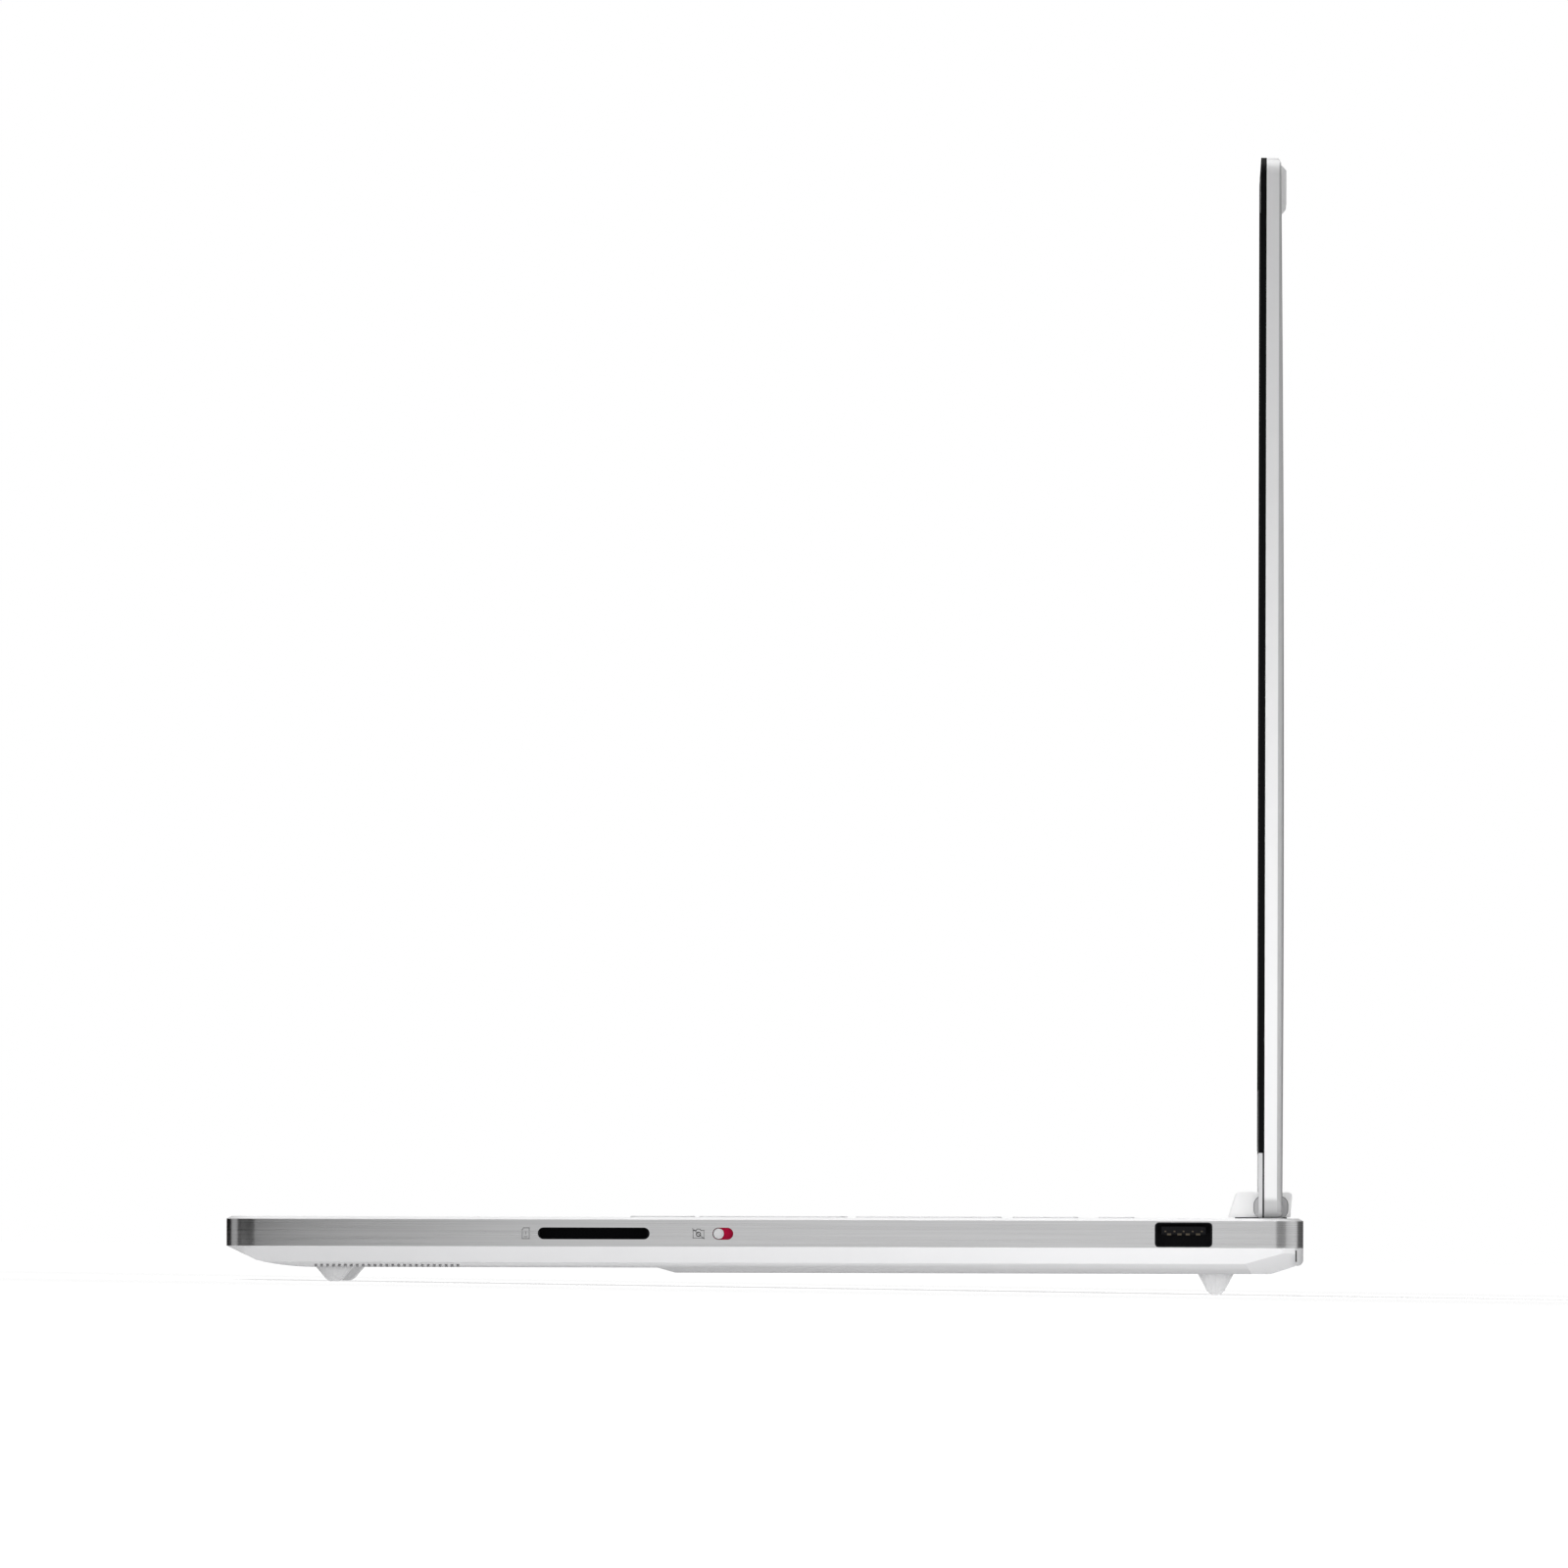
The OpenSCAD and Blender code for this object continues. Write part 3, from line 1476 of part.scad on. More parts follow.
// Bump over the camera at the top of the lid's back.
module camera_bump() {
    low = lid_top - bump_h;
    back = lid_front + lid_t_top;
    along_x(-bump_w / 2, bump_w / 2)
        offset(r = 0.5, $fn = 32)
            offset(delta = -0.5)
                polygon([
                    [back - 1.5, low], [back + 0.05, low], [back + bump_t, low + 1.6],
                    [back + bump_t, lid_top - 1.2], [back + 0.3, lid_top], [back - 1.5, lid_top]
                ]);
}

module lid_shell() {
    color(white)
        difference() {
            union() {
                intersection() {
                    along_y(shell_front, lid_back_max + over) lid_outline();
                    along_x(-lid_w / 2, lid_w / 2)
                        offset(r = lid_edge_r, $fn = 32)
                            offset(delta = -lid_edge_r)
                                lid_profile(0);
                    along_z(lid_bottom, lid_top)
                        translate([0, lid_back_max - 10])
                            offset(r = lid_edge_r, $fn = 32)
                                square([lid_w - 2 * lid_edge_r, 2 * (10 - lid_edge_r)], center = true);
                }
                camera_bump();
            }
            intersection() {
                along_y(shell_front - over, lid_back_max + over) offset(delta = -lid_rim) lid_outline();
                along_x(-lid_w / 2, lid_w / 2) lid_profile(lid_rim);
            }
            notch_wedges();
            both_sides() {
                rod_x(notch_out - over, arm_in + arm_w + fit_gap, hinge_y, hinge_z, shaft_r + run_gap);
                rod_x(notch_in - lid_rim - over, notch_in + over, hinge_y, hinge_z, shaft_r + run_gap);
            }
        }
}

// Black frame round the screen, with a rebate for the panel. It ends above the chin strip.
module display_bezel() {
    mouth_w = screen_w + 2 * screen_frame;
    color(black)
        difference() {
            along_y(lid_front, shell_front) lid_outline();
            along_y(lid_front - over, shell_front + over) chin_area();
            along_y(lid_front - over, shell_front + over)
                translate([-mouth_w / 2, screen_z0 - screen_frame])
                    square([mouth_w, screen_h + 2 * screen_frame]);
            along_y(lid_front + bezel_lip_t, shell_front + over)
                translate([-screen_w / 2 - panel_side - fit_gap, panel_z0 - fit_gap])
                    square([screen_w + 2 * (panel_side + fit_gap), panel_z1 - panel_z0 + 2 * fit_gap]);
            along_y(lid_front - over, lid_front + gasket_groove) gasket_ring(0.05);
            rod_y(lid_front - over, shell_front + over, 0, webcam_z, lens_r + 0.2);
        }
}

// A rod along Y at a place in X and Z.
module rod_y(y0, y1, x, z, r) {
    translate([x, y0, z])
        rotate([-90, 0, 0])
            cylinder(h = y1 - y0, r = r, $fn = 48);
}

// Ring that follows the bezel's edge, in X and Z.
module gasket_ring(grow) {
    low = chin_top + 0.8;
    centre = (low + lid_top - gasket_inset) / 2;
    w = lid_w - 2 * gasket_inset;
    h = lid_top - gasket_inset - low;
    translate([0, centre])
        difference() {
            rounded_rect(w + 2 * grow, h + 2 * grow, lid_corner_r - gasket_inset + grow, 6);
            rounded_rect(w - 2 * gasket_w - 2 * grow, h - 2 * gasket_w - 2 * grow,
                         lid_corner_r - gasket_inset - gasket_w - grow, 6);
        }
}

// The lowest part of the lid's front, in X and Z.
module chin_area() {
    translate([-lid_w, lid_bottom - over]) square([2 * lid_w, chin_h + over]);
}

// A layer of the lid's lowest part between two depths, with the notches over the towers.
module chin_layer(y0, y1) {
    difference() {
        along_y(y0, y1)
            intersection() {
                lid_outline();
                chin_area();
            }
        notch_wedges();
    }
}

// Seal round the bezel, and the bonding tape behind the chin strip.
module bezel_gasket() {
    color(black) {
        along_y(lid_front - gasket_proud, lid_front + gasket_groove) gasket_ring(0);
        chin_layer(chin_back, shell_front);
    }
}

module display_panel() {
    color(dark_grey)
        along_y(panel_front, panel_back)
            translate([-screen_w / 2 - panel_side, panel_z0])
                square([screen_w + 2 * panel_side, panel_z1 - panel_z0]);
}

module chin_strip() {
    color(pale_grey) chin_layer(lid_front, chin_back);
}

module webcam_module() {
    module_w = 60;
    module_h = lid_top - lid_rim - panel_z1 - 4 * fit_gap;
    color(black) {
        along_y(shell_front, lid_front + lid_t_top - lid_wall - 2 * fit_gap)
            translate([0, webcam_z]) square([module_w, module_h], center = true);
        rod_y(lid_front + 0.4, shell_front, 0, webcam_z, lens_r);
    }
}

module lid_cable() {
    ribbon_t = 0.4;
    ribbon_w = 5;
    cable_in = notch_in - lid_rim - ribbon_w;
    color(black)
        mirror([1, 0, 0]) {
            rod_x(cable_in, cable_joint, hinge_y, hinge_z, cable_r);
            block([cable_in, arm_y + fit_gap, hinge_z],
                  [cable_in + ribbon_w, arm_y + fit_gap + ribbon_t, panel_z0 + 8]);
        }
}

module base_cable() {
    drop_x = tower_hole_in + over + 1.5;
    color(black)
        mirror([1, 0, 0]) {
            rod_x(cable_joint, drop_x + 1.4 * cable_r, hinge_y, hinge_z, cable_r);
            translate([drop_x, hinge_y, 0])
                along_z(-deck_t - 2.2, hinge_z) circle(r = 0.9 * cable_r, $fn = 32);
        }
}

// ------------------------------------------------------------------- keys

module caps() {
    color(white)
        along_z(key_bottom, key_top) children();
}

module function_keys() {
    caps() function_row(1, 19);
}

module number_row_keys() {
    caps() unit_keys(number_units, 0, 12, row_rear(0));
}

module q_row_keys() {
    caps() unit_keys(q_units, 1, 13, row_rear(1));
}

module a_row_keys() {
    caps() unit_keys(a_units, 1, 11, row_rear(2));
}

module z_row_keys() {
    caps() unit_keys(z_units, 1, 10, row_rear(3));
}

module modifier_keys() {
    caps() {
        unit_keys(bottom_units, 0, 3, row_rear(4));
        unit_keys(bottom_units, 5, 6, row_rear(4));
    }
}

module arrow_keys() {
    caps() {
        unit_keys(bottom_units, up_key, up_key, row_rear(4));
        lower_arrows();
    }
}

module number_pad_keys() {
    caps() {
        pad_keys(0, 3, row_rear(0));
        pad_keys(0, 2, row_rear(1));
        pad_keys(0, 2, row_rear(2));
        pad_keys(0, 2, row_rear(3));
        pad_zero_shape();
        pad_keys(2, 2, row_rear(4));
    }
}

module space_bar() {
    caps() unit_keys(bottom_units, 4, 4, row_rear(4));
}

module enter_key() {
    caps() unit_keys(a_units, 12, 12, row_rear(2));
}

module backspace_key() {
    caps() unit_keys(number_units, 13, 13, row_rear(0));
}

module tab_key() {
    caps() unit_keys(q_units, 0, 0, row_rear(1));
}

module caps_lock_key() {
    caps() unit_keys(a_units, 0, 0, row_rear(2));
}

module left_shift_key() {
    caps() unit_keys(z_units, 0, 0, row_rear(3));
}

module right_shift_key() {
    caps() unit_keys(z_units, 11, 11, row_rear(3));
}

module escape_key() {
    caps() function_row(0, 0);
}

module pad_enter_key() {
    caps() pad_enter_shape();
}

module pad_plus_key() {
    caps() pad_plus_shape();
}

// --------------------------------------------------------------- assembly

seat() side_frame();
seat() top_case();
seat() bottom_cover();
seat() front_feet();
seat() rear_foot();
seat() rear_grille();
seat() cover_screws();
seat() battery();
seat() mainboard();
seat() heat_pipes();
seat() fin_stacks();
seat() fan_housings();
seat() solid_state_drive();
seat() memory_modules();
seat() wireless_card();
seat() speakers();
seat() keyboard_plate();
seat() usb_a_ports();
seat() card_reader();
seat() hdmi_port();
seat() usb_c_ports();
seat() audio_jack();
seat() power_inlet();
seat() hinge_towers();
seat() hinge_brackets();
seat() knuckle_caps();
seat() fan_wheel_left();
seat() fan_wheel_right();
seat() touchpad();
seat() touchpad_bracket();
seat() power_button();
seat() shutter_slider();
seat() shutter_housing();
seat() lid_shell();
seat() display_bezel();
seat() display_panel();
seat() bezel_gasket();
seat() chin_strip();
seat() webcam_module();
seat() hinge_arms();
seat() lid_cable();
seat() base_cable();
seat() function_keys();
seat() number_row_keys();
seat() q_row_keys();
seat() a_row_keys();
seat() z_row_keys();
seat() modifier_keys();
seat() arrow_keys();
seat() number_pad_keys();
seat() space_bar();
seat() enter_key();
seat() backspace_key();
seat() tab_key();
seat() caps_lock_key();
seat() left_shift_key();
seat() right_shift_key();
seat() escape_key();
seat() pad_enter_key();
seat() pad_plus_key();
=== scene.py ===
import json
import math

import bmesh
import bpy
from mathutils import Matrix, Vector

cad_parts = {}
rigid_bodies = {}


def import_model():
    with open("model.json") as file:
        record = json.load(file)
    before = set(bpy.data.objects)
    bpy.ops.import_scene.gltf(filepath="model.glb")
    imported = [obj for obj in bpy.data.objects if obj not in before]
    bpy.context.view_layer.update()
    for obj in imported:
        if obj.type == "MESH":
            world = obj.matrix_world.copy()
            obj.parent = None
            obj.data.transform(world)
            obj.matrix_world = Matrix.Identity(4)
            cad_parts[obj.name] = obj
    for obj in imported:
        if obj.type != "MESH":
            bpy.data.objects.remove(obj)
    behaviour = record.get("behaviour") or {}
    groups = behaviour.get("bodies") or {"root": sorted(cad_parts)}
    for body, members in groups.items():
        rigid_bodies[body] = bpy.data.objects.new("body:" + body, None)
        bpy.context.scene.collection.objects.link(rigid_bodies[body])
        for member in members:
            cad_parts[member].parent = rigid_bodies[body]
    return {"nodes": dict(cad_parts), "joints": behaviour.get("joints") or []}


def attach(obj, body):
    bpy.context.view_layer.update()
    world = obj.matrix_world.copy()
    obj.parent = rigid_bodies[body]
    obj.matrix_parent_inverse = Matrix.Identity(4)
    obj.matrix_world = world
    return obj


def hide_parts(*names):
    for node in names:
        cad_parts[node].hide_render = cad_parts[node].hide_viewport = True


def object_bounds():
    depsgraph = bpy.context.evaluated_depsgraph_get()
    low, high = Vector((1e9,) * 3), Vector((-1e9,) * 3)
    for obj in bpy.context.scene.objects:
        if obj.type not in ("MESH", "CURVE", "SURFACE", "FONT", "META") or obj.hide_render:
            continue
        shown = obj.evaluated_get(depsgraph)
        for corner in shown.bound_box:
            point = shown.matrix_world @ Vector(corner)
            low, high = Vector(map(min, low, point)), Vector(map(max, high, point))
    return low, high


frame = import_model()
cad_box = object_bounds()

# ------------------------------------------------------------ bottom cover
# The cover is a white moulded tray, screwed up into the deck from below. Its skin is a fine
# spark-eroded satin, near white, a little uneven in gloss and grained far under a millimetre.

MM = 0.001
CREASE = 32  # an edge that bends by more degrees than this is left sharp
WELD = 2e-6  # corners of a CAD mesh this close, in metres, are one
FLAT_BEND = 0.4  # faces that bend by fewer degrees than this are joined
CLOUD = 24.0  # millimetres across the clouds in a moulded skin
deeper_by, paler_by = 0.965, 1.03
cloud_gloss, speck_gloss = 0.12, 0.08
press = next(j["axis"] for j in frame["joints"] if j["name"] == "power_press")
deck_tilt = math.atan2(press[1], -press[2])
level = Matrix.Rotation(-deck_tilt, 4, "X")
deck_height = max((level @ v.co).z for v in frame["nodes"]["top_case"].data.vertices)
seat = Matrix.Translation((0, 0, deck_height / math.cos(deck_tilt))) @ level.inverted()
unseat = seat.inverted()


def socket_of(sockets, name):
    if isinstance(name, int):
        return sockets[name]
    return next(s for s in sockets if s.name == name and s.enabled)


class Reading:
    """A value or colour that a node gives out. Arithmetic on it adds the Math nodes."""

    def __init__(self, finish, socket):
        self.finish = finish
        self.socket = socket

    def sum(self, kind, *parts):
        return self.finish.node("ShaderNodeMath", {"operation": kind}, dict(enumerate(parts)))

    def __add__(self, other):
        return self.sum("ADD", self, other)

    def __sub__(self, other):
        return self.sum("SUBTRACT", self, other)

    def __rsub__(self, other):
        return self.sum("SUBTRACT", other, self)

    def __mul__(self, other):
        return self.sum("MULTIPLY", self, other)

    def __truediv__(self, other):
        return self.sum("DIVIDE", self, other)

    def __rtruediv__(self, other):
        return self.sum("DIVIDE", other, self)

    def __abs__(self):
        return self.sum("ABSOLUTE", self)

    __radd__ = __add__
    __rmul__ = __mul__

    def step(self, low, high):
        """0 up to low, 1 from high on, and a smooth rise between."""
        return self.finish.node("ShaderNodeMapRange", {"interpolation_type": "SMOOTHSTEP"},
                                {"Value": self, "From Min": low, "From Max": high})

    def part(self, axis):
        """The x, y or z of a vector."""
        return self.finish.node("ShaderNodeSeparateXYZ", None, {"Vector": self}, out="XYZ".index(axis))


class Finish:
    """One surface finish: a Principled shader, and the nodes that vary it from place to place."""

    def __init__(self, name, turn=-deck_tilt, owner=None, **fixed):
        self.material = owner or bpy.data.materials.new(name)
        self.material.use_nodes = True
        self.tree = self.material.node_tree
        self.shader = self.tree.nodes.get("Principled BSDF")
        self.turn = turn
        self.set(**fixed)

    def node(self, kind, settings=None, values=None, out=0):
        made = self.tree.nodes.new(kind)
        for name, value in (settings or {}).items():
            if name == "stops":
                ramp = made.color_ramp
                while len(ramp.elements) < len(value):
                    ramp.elements.new(0.5)
                for element, (place, shade) in zip(ramp.elements, value):
                    element.position = place
                    element.color = (*shade, 1)
            else:
                setattr(made, name, value)
        for name, value in (values or {}).items():
            self.put(socket_of(made.inputs, name), value)
        return Reading(self, socket_of(made.outputs, out))

    def put(self, socket, value):
        if isinstance(value, Reading):
            self.tree.links.new(value.socket, socket)
        elif socket.type == "RGBA":
            socket.default_value = (*value, 1)
        else:
            socket.default_value = value

    def set(self, **values):
        for name, value in values.items():
            self.put(self.shader.inputs[name.replace("_", " ")], value)
        return self

    def place(self, stretch=(1, 1, 1)):
        """Object coordinates in millimetres, squared up with the piece and drawn out by stretch."""
        spot = self.node("ShaderNodeTexCoord", out="Object")
        squared = self.node("ShaderNodeMapping", None, {"Vector": spot, "Rotation": (self.turn, 0, 0)})
        return self.node("ShaderNodeVectorMath", {"operation": "MULTIPLY"},
                         {0: squared, 1: [1 / MM / s for s in stretch]})

    def noise(self, size, stretch=(1, 1, 1), detail=2.0):
        """A soft random value about 0.5, in lumps size millimetres across."""
        return self.node("ShaderNodeTexNoise", None,
                         {"Vector": self.place(stretch), "Scale": 1 / size, "Detail": detail})

    def mix(self, share, first, second):
        return self.node("ShaderNodeMix", {"data_type": "RGBA"},
                         {"Factor": share, "A": first, "B": second}, out="Result")

    def colour(self):
        """What feeds the shader's colour so far."""
        return Reading(self, self.shader.inputs["Base Color"].links[0].from_socket)

    def relief(self, height, depth):
        """Bumps that depth high, in millimetres."""
        return self.set(Normal=self.node("ShaderNodeBump", None,
                                         {"Height": height, "Distance": depth * MM, "Strength": 1.0}))


def new_piece(name, shape, finish, crease=CREASE):
    """A piece from a bmesh that is in metres and in place, with edges sharp above that many degrees."""
    mesh = bpy.data.meshes.new(name)
    shape.normal_update()
    shape.to_mesh(mesh)
    shape.free()
    mesh.materials.append(finish.material)
    mesh.shade_smooth()
    mesh.set_sharp_from_angle(angle=math.radians(crease))
    piece = bpy.data.objects.new(name, mesh)
    bpy.context.scene.collection.objects.link(piece)
    return piece


def baked(holder):
    """The mesh that an object shows once its modifiers have run."""
    bpy.context.view_layer.update()
    shown = holder.evaluated_get(bpy.context.evaluated_depsgraph_get())
    return bpy.data.meshes.new_from_object(shown)


def dress(finish, *nodes):
    """Puts a finish on CAD nodes that are shown as they are."""
    for name in nodes:
        mesh = frame["nodes"][name].data
        mesh.materials.clear()
        mesh.materials.append(finish.material)


def finished(finish, body, slot, *nodes, crease=CREASE):
    """A welded copy of each CAD solid, shaded smooth across its gentle bends, in its place."""
    for node in nodes:
        shape = bmesh.new()
        shape.from_mesh(frame["nodes"][node].data)
        bmesh.ops.remove_doubles(shape, verts=shape.verts, dist=WELD)
        bmesh.ops.dissolve_limit(shape, angle_limit=math.radians(FLAT_BEND), verts=shape.verts,
                                 edges=shape.edges)
        piece = new_piece(node + "_skin", shape, finish, crease)
        weigh = piece.modifiers.new("weigh", "WEIGHTED_NORMAL")
        weigh.keep_sharp = True
        weigh.weight = 100
        smooth = baked(piece)
        piece.modifiers.remove(weigh)
        piece.data = smooth
        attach(piece, body)
        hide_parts(node)


def moulded(name, shade, grain, depth, rough, turn=-deck_tilt, clouds=1.0, **fixed):
    """Moulded or coated skin: faint mottle, fine grain, and gloss that wanders with both."""
    skin = Finish(name, turn, **fixed)
    speck = skin.noise(grain, detail=3.0)
    cloud = (skin.noise(CLOUD, detail=4.0) - 0.5) * clouds + 0.5
    deeper = [c * deeper_by for c in shade]
    paler = [min(c * paler_by, 1) for c in shade]
    skin.set(Base_Color=skin.mix(speck * 0.5 + cloud * 0.5, deeper, paler),
             Roughness=rough + (cloud - 0.5) * cloud_gloss + (speck - 0.5) * speck_gloss)
    skin.relief(speck, depth)
    return skin


cover_white = moulded("white_cover", (0.86, 0.86, 0.87), 0.16, 0.006, 0.42)
finished(cover_white, "base", "white_cover", "bottom_cover")

# ------------------------------------------------------------ feet
# Two short front bars and one long rear bar of pale soft rubber, glued into shallow seats in
# the cover. The rubber is matt, with a dusting of fine pits from its mould.

foot_rubber = moulded("foot_rubber", (0.95, 0.95, 0.955), 0.3, 0.012, 0.62)
finished(foot_rubber, "base", "foot_rubber", "front_feet", "rear_foot")

# ------------------------------------------------------------ rear grille
# A separate moulded strip across the back edge, where the warm air leaves. It is a shade
# greyer than the cover, and clips in from behind.

grille_grey = moulded("rear_grille_grey", (0.66, 0.66, 0.67), 0.2, 0.008, 0.5)
dress(grille_grey, "rear_grille")

# ------------------------------------------------------------ screws
# Small plated steel machine screws hold the cover. Each head is turned, with a six-pointed drive
# sunk in its face, and the plating is fine-grained and a little cloudy.

SCREW_HEAD = {"Head Radius": 2.1 * MM, "Head Height": 0.8 * MM, "Drive Radius": 1.05 * MM,
              "Drive Depth": 0.45 * MM, "Shank Radius": 1.0 * MM, "Shank Length": 3.5 * MM}
head_sides, shank_sides = 28, 16
drive_waist = 0.7  # the drive's inner radius, as a share of its outer one
front_sink = 0.6 * MM  # the front row lies deeper, where the cover rises to its edge
same_row = 1.0 * MM  # heads this close to the foremost one are in the front row
grain_gloss = 0.2


def metal(name, dark, light, grain, depth, rough, stretch=(1, 1, 1), detail=2.0):
    """Bare or plated metal: one fine grain varies its shade, its gloss and its relief."""
    skin = Finish(name, Metallic=1.0)
    speck = skin.noise(grain, stretch, detail)
    skin.set(Base_Color=skin.mix(speck, dark, light), Roughness=rough + (speck - 0.5) * grain_gloss)
    skin.relief(speck, depth)
    return skin


screw_steel = metal("screw_steel", (0.42, 0.43, 0.45), (0.62, 0.63, 0.65), 0.08, 0.004, 0.3,
                    stretch=(1, 1, 6))


class Pattern:
    """A Geometry Nodes tree with named sizes, run on points and baked to a plain mesh."""

    def __init__(self, name, sizes):
        self.tree = bpy.data.node_groups.new(name, "GeometryNodeTree")
        face = self.tree.interface
        face.new_socket("Geometry", in_out="INPUT", socket_type="NodeSocketGeometry")
        self.ids = {}
        for label, value in sizes.items():
            made = face.new_socket(label, in_out="INPUT", socket_type="NodeSocketFloat")
            self.ids[label] = (made.identifier, value)
        face.new_socket("Geometry", in_out="OUTPUT", socket_type="NodeSocketGeometry")
        self.given = self.tree.nodes.new("NodeGroupInput")

    def size(self, label):
        return socket_of(self.given.outputs, label)

    def node(self, kind, settings=None, values=None, out=0):
        made = self.tree.nodes.new(kind)
        for name, value in (settings or {}).items():
            setattr(made, name, value)
        for name, value in (values or {}).items():
            socket = socket_of(made.inputs, name)
            for source in value if isinstance(value, list) else [value]:
                if isinstance(source, bpy.types.NodeSocket):
                    self.tree.links.new(source, socket)
                else:
                    socket.default_value = source
        return socket_of(made.outputs, out)

    def sum(self, kind, first, second):
        return self.node("ShaderNodeMath", {"operation": kind}, {0: first, 1: second})

    def vector(self, x=0.0, y=0.0, z=0.0):
        return self.node("ShaderNodeCombineXYZ", None, {"X": x, "Y": y, "Z": z})

    def run(self, name, points, shape, finish):
        """The finished piece: the tree ends in real geometry with its material on it."""
        real = self.node("GeometryNodeRealizeInstances", None, {"Geometry": shape})
        coated = self.node("GeometryNodeSetMaterial", None, {"Geometry": real, "Material": finish.material})
        end = self.tree.nodes.new("NodeGroupOutput")
        self.tree.links.new(coated, end.inputs[0])
        seeds = bpy.data.meshes.new(name + "_points")
        seeds.from_pydata([tuple(p) for p in points], [], [])
        holder = bpy.data.objects.new(name + "_points", seeds)
        bpy.context.scene.collection.objects.link(holder)
        step = holder.modifiers.new("pattern", "NODES")
        step.node_group = self.tree
        for label, (identifier, value) in self.ids.items():
            step[identifier] = value
        mesh = baked(holder)
        bpy.data.objects.remove(holder)
        mesh.materials.clear()  # the points bring an empty slot
        mesh.materials.append(finish.material)
        mesh.transform(seat)
        mesh.shade_smooth()
        mesh.set_sharp_from_angle(angle=math.radians(CREASE))
        piece = bpy.data.objects.new(name, mesh)
        bpy.context.scene.collection.objects.link(piece)
        return piece


row_depth = 2 * MM  # solids whose rear edges lie this close stand in one row


def solids_of(node):
    """The deck-frame box of each separate solid of a CAD node, rear row first, left to right."""
    shape = bmesh.new()
    shape.from_mesh(frame["nodes"][node].data)
    shape.transform(unseat)
    bmesh.ops.remove_doubles(shape, verts=shape.verts, dist=WELD / 2)
    seen, boxes = set(), []
    for start in shape.verts:
        if start in seen:
            continue
        seen.add(start)
        island, queue = [], [start]
        while queue:
            v = queue.pop()
            island.append(v.co.copy())
            for e in v.link_edges:
                w = e.other_vert(v)
                if w not in seen:
                    seen.add(w)
                    queue.append(w)
        boxes.append((Vector(min(p[i] for p in island) for i in range(3)),
                      Vector(max(p[i] for p in island) for i in range(3))))
    shape.free()
    return sorted(boxes, key=lambda box: (-round(box[1].y / row_depth), box[0].x))


screw = Pattern("cover_screws", SCREW_HEAD)
rim = screw.node("GeometryNodeCurvePrimitiveCircle", None,
                 {"Resolution": head_sides, "Radius": screw.size("Head Radius")})
waist = screw.sum("MULTIPLY", screw.size("Drive Radius"), drive_waist)
star = screw.node("GeometryNodeCurveStar", None,
                  {"Points": 6, "Inner Radius": waist, "Outer Radius": screw.size("Drive Radius")})
outline = screw.node("GeometryNodeJoinGeometry", None, {"Geometry": [rim, star]})
face = screw.node("GeometryNodeFillCurve", {"mode": "TRIANGLES"}, {"Curve": outline})
flipped = screw.node("GeometryNodeFlipFaces", None, {"Mesh": face})
down = screw.vector(z=screw.size("Drive Depth"))
walled = screw.node("GeometryNodeExtrudeMesh", None,
                    {"Mesh": flipped, "Offset": down, "Offset Scale": 1.0, "Individual": False})
floor_disc = screw.node("GeometryNodeFillCurve", {"mode": "NGONS"}, {"Curve": star})
floor_disc = screw.node("GeometryNodeFlipFaces", None, {"Mesh": floor_disc})
sunk = screw.node("GeometryNodeTransform", None, {"Geometry": floor_disc, "Translation": down})
solid_depth = screw.sum("SUBTRACT", screw.size("Head Height"), screw.size("Drive Depth"))
solid_mid = screw.sum("MULTIPLY", screw.sum("ADD", screw.size("Head Height"), screw.size("Drive Depth")), 0.5)
block = screw.node("GeometryNodeMeshCylinder", None,
                   {"Vertices": head_sides, "Radius": screw.size("Head Radius"), "Depth": solid_depth})
block = screw.node("GeometryNodeTransform", None,
                   {"Geometry": block, "Translation": screw.vector(z=solid_mid)})
half_shank = screw.sum("MULTIPLY", screw.size("Shank Length"), 0.5)
shank_mid = screw.sum("ADD", screw.size("Head Height"), half_shank)
shank = screw.node("GeometryNodeMeshCylinder", None,
                   {"Vertices": shank_sides, "Radius": screw.size("Shank Radius"),
                    "Depth": screw.size("Shank Length")})
shank = screw.node("GeometryNodeTransform", None,
                   {"Geometry": shank, "Translation": screw.vector(z=shank_mid)})
whole = screw.node("GeometryNodeJoinGeometry", None, {"Geometry": [flipped, walled, sunk, block, shank]})
set_out = screw.node("GeometryNodeInstanceOnPoints", None,
                     {"Points": screw.given.outputs[0], "Instance": whole})
heads = solids_of("cover_screws")
front_row = min(low.y for low, high in heads) + same_row
spots = [((low.x + high.x) / 2, (low.y + high.y) / 2, low.z + (front_sink if low.y < front_row else 0.0))
         for low, high in heads]
screws = screw.run("cover_screw_set", spots, set_out, screw_steel)
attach(screws, "base")
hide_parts("cover_screws")

# ------------------------------------------------------------ inner parts
# Everything under the deck: circuit board, cells, cooler, cards and speakers, laid in the
# tray and screwed down. Most of it only shows through the vents or in an exploded set.

board_green = Finish("circuit_board", Specular_IOR_Level=0.5)
tracks = board_green.node("ShaderNodeTexVoronoi", {"feature": "DISTANCE_TO_EDGE"},
                          {"Vector": board_green.place(), "Scale": 0.5, "Randomness": 0.35})
solder = board_green.noise(3.0, detail=1.0)
board_green.set(Base_Color=board_green.mix(tracks.step(0.02, 0.1), (0.16, 0.3, 0.16), (0.02, 0.09, 0.055)),
                Roughness=0.32 + solder * 0.2)
board_green.relief(tracks.step(0.0, 0.15), 0.03)
dress(board_green, "mainboard", "memory_modules", "solid_state_drive", "wireless_card")

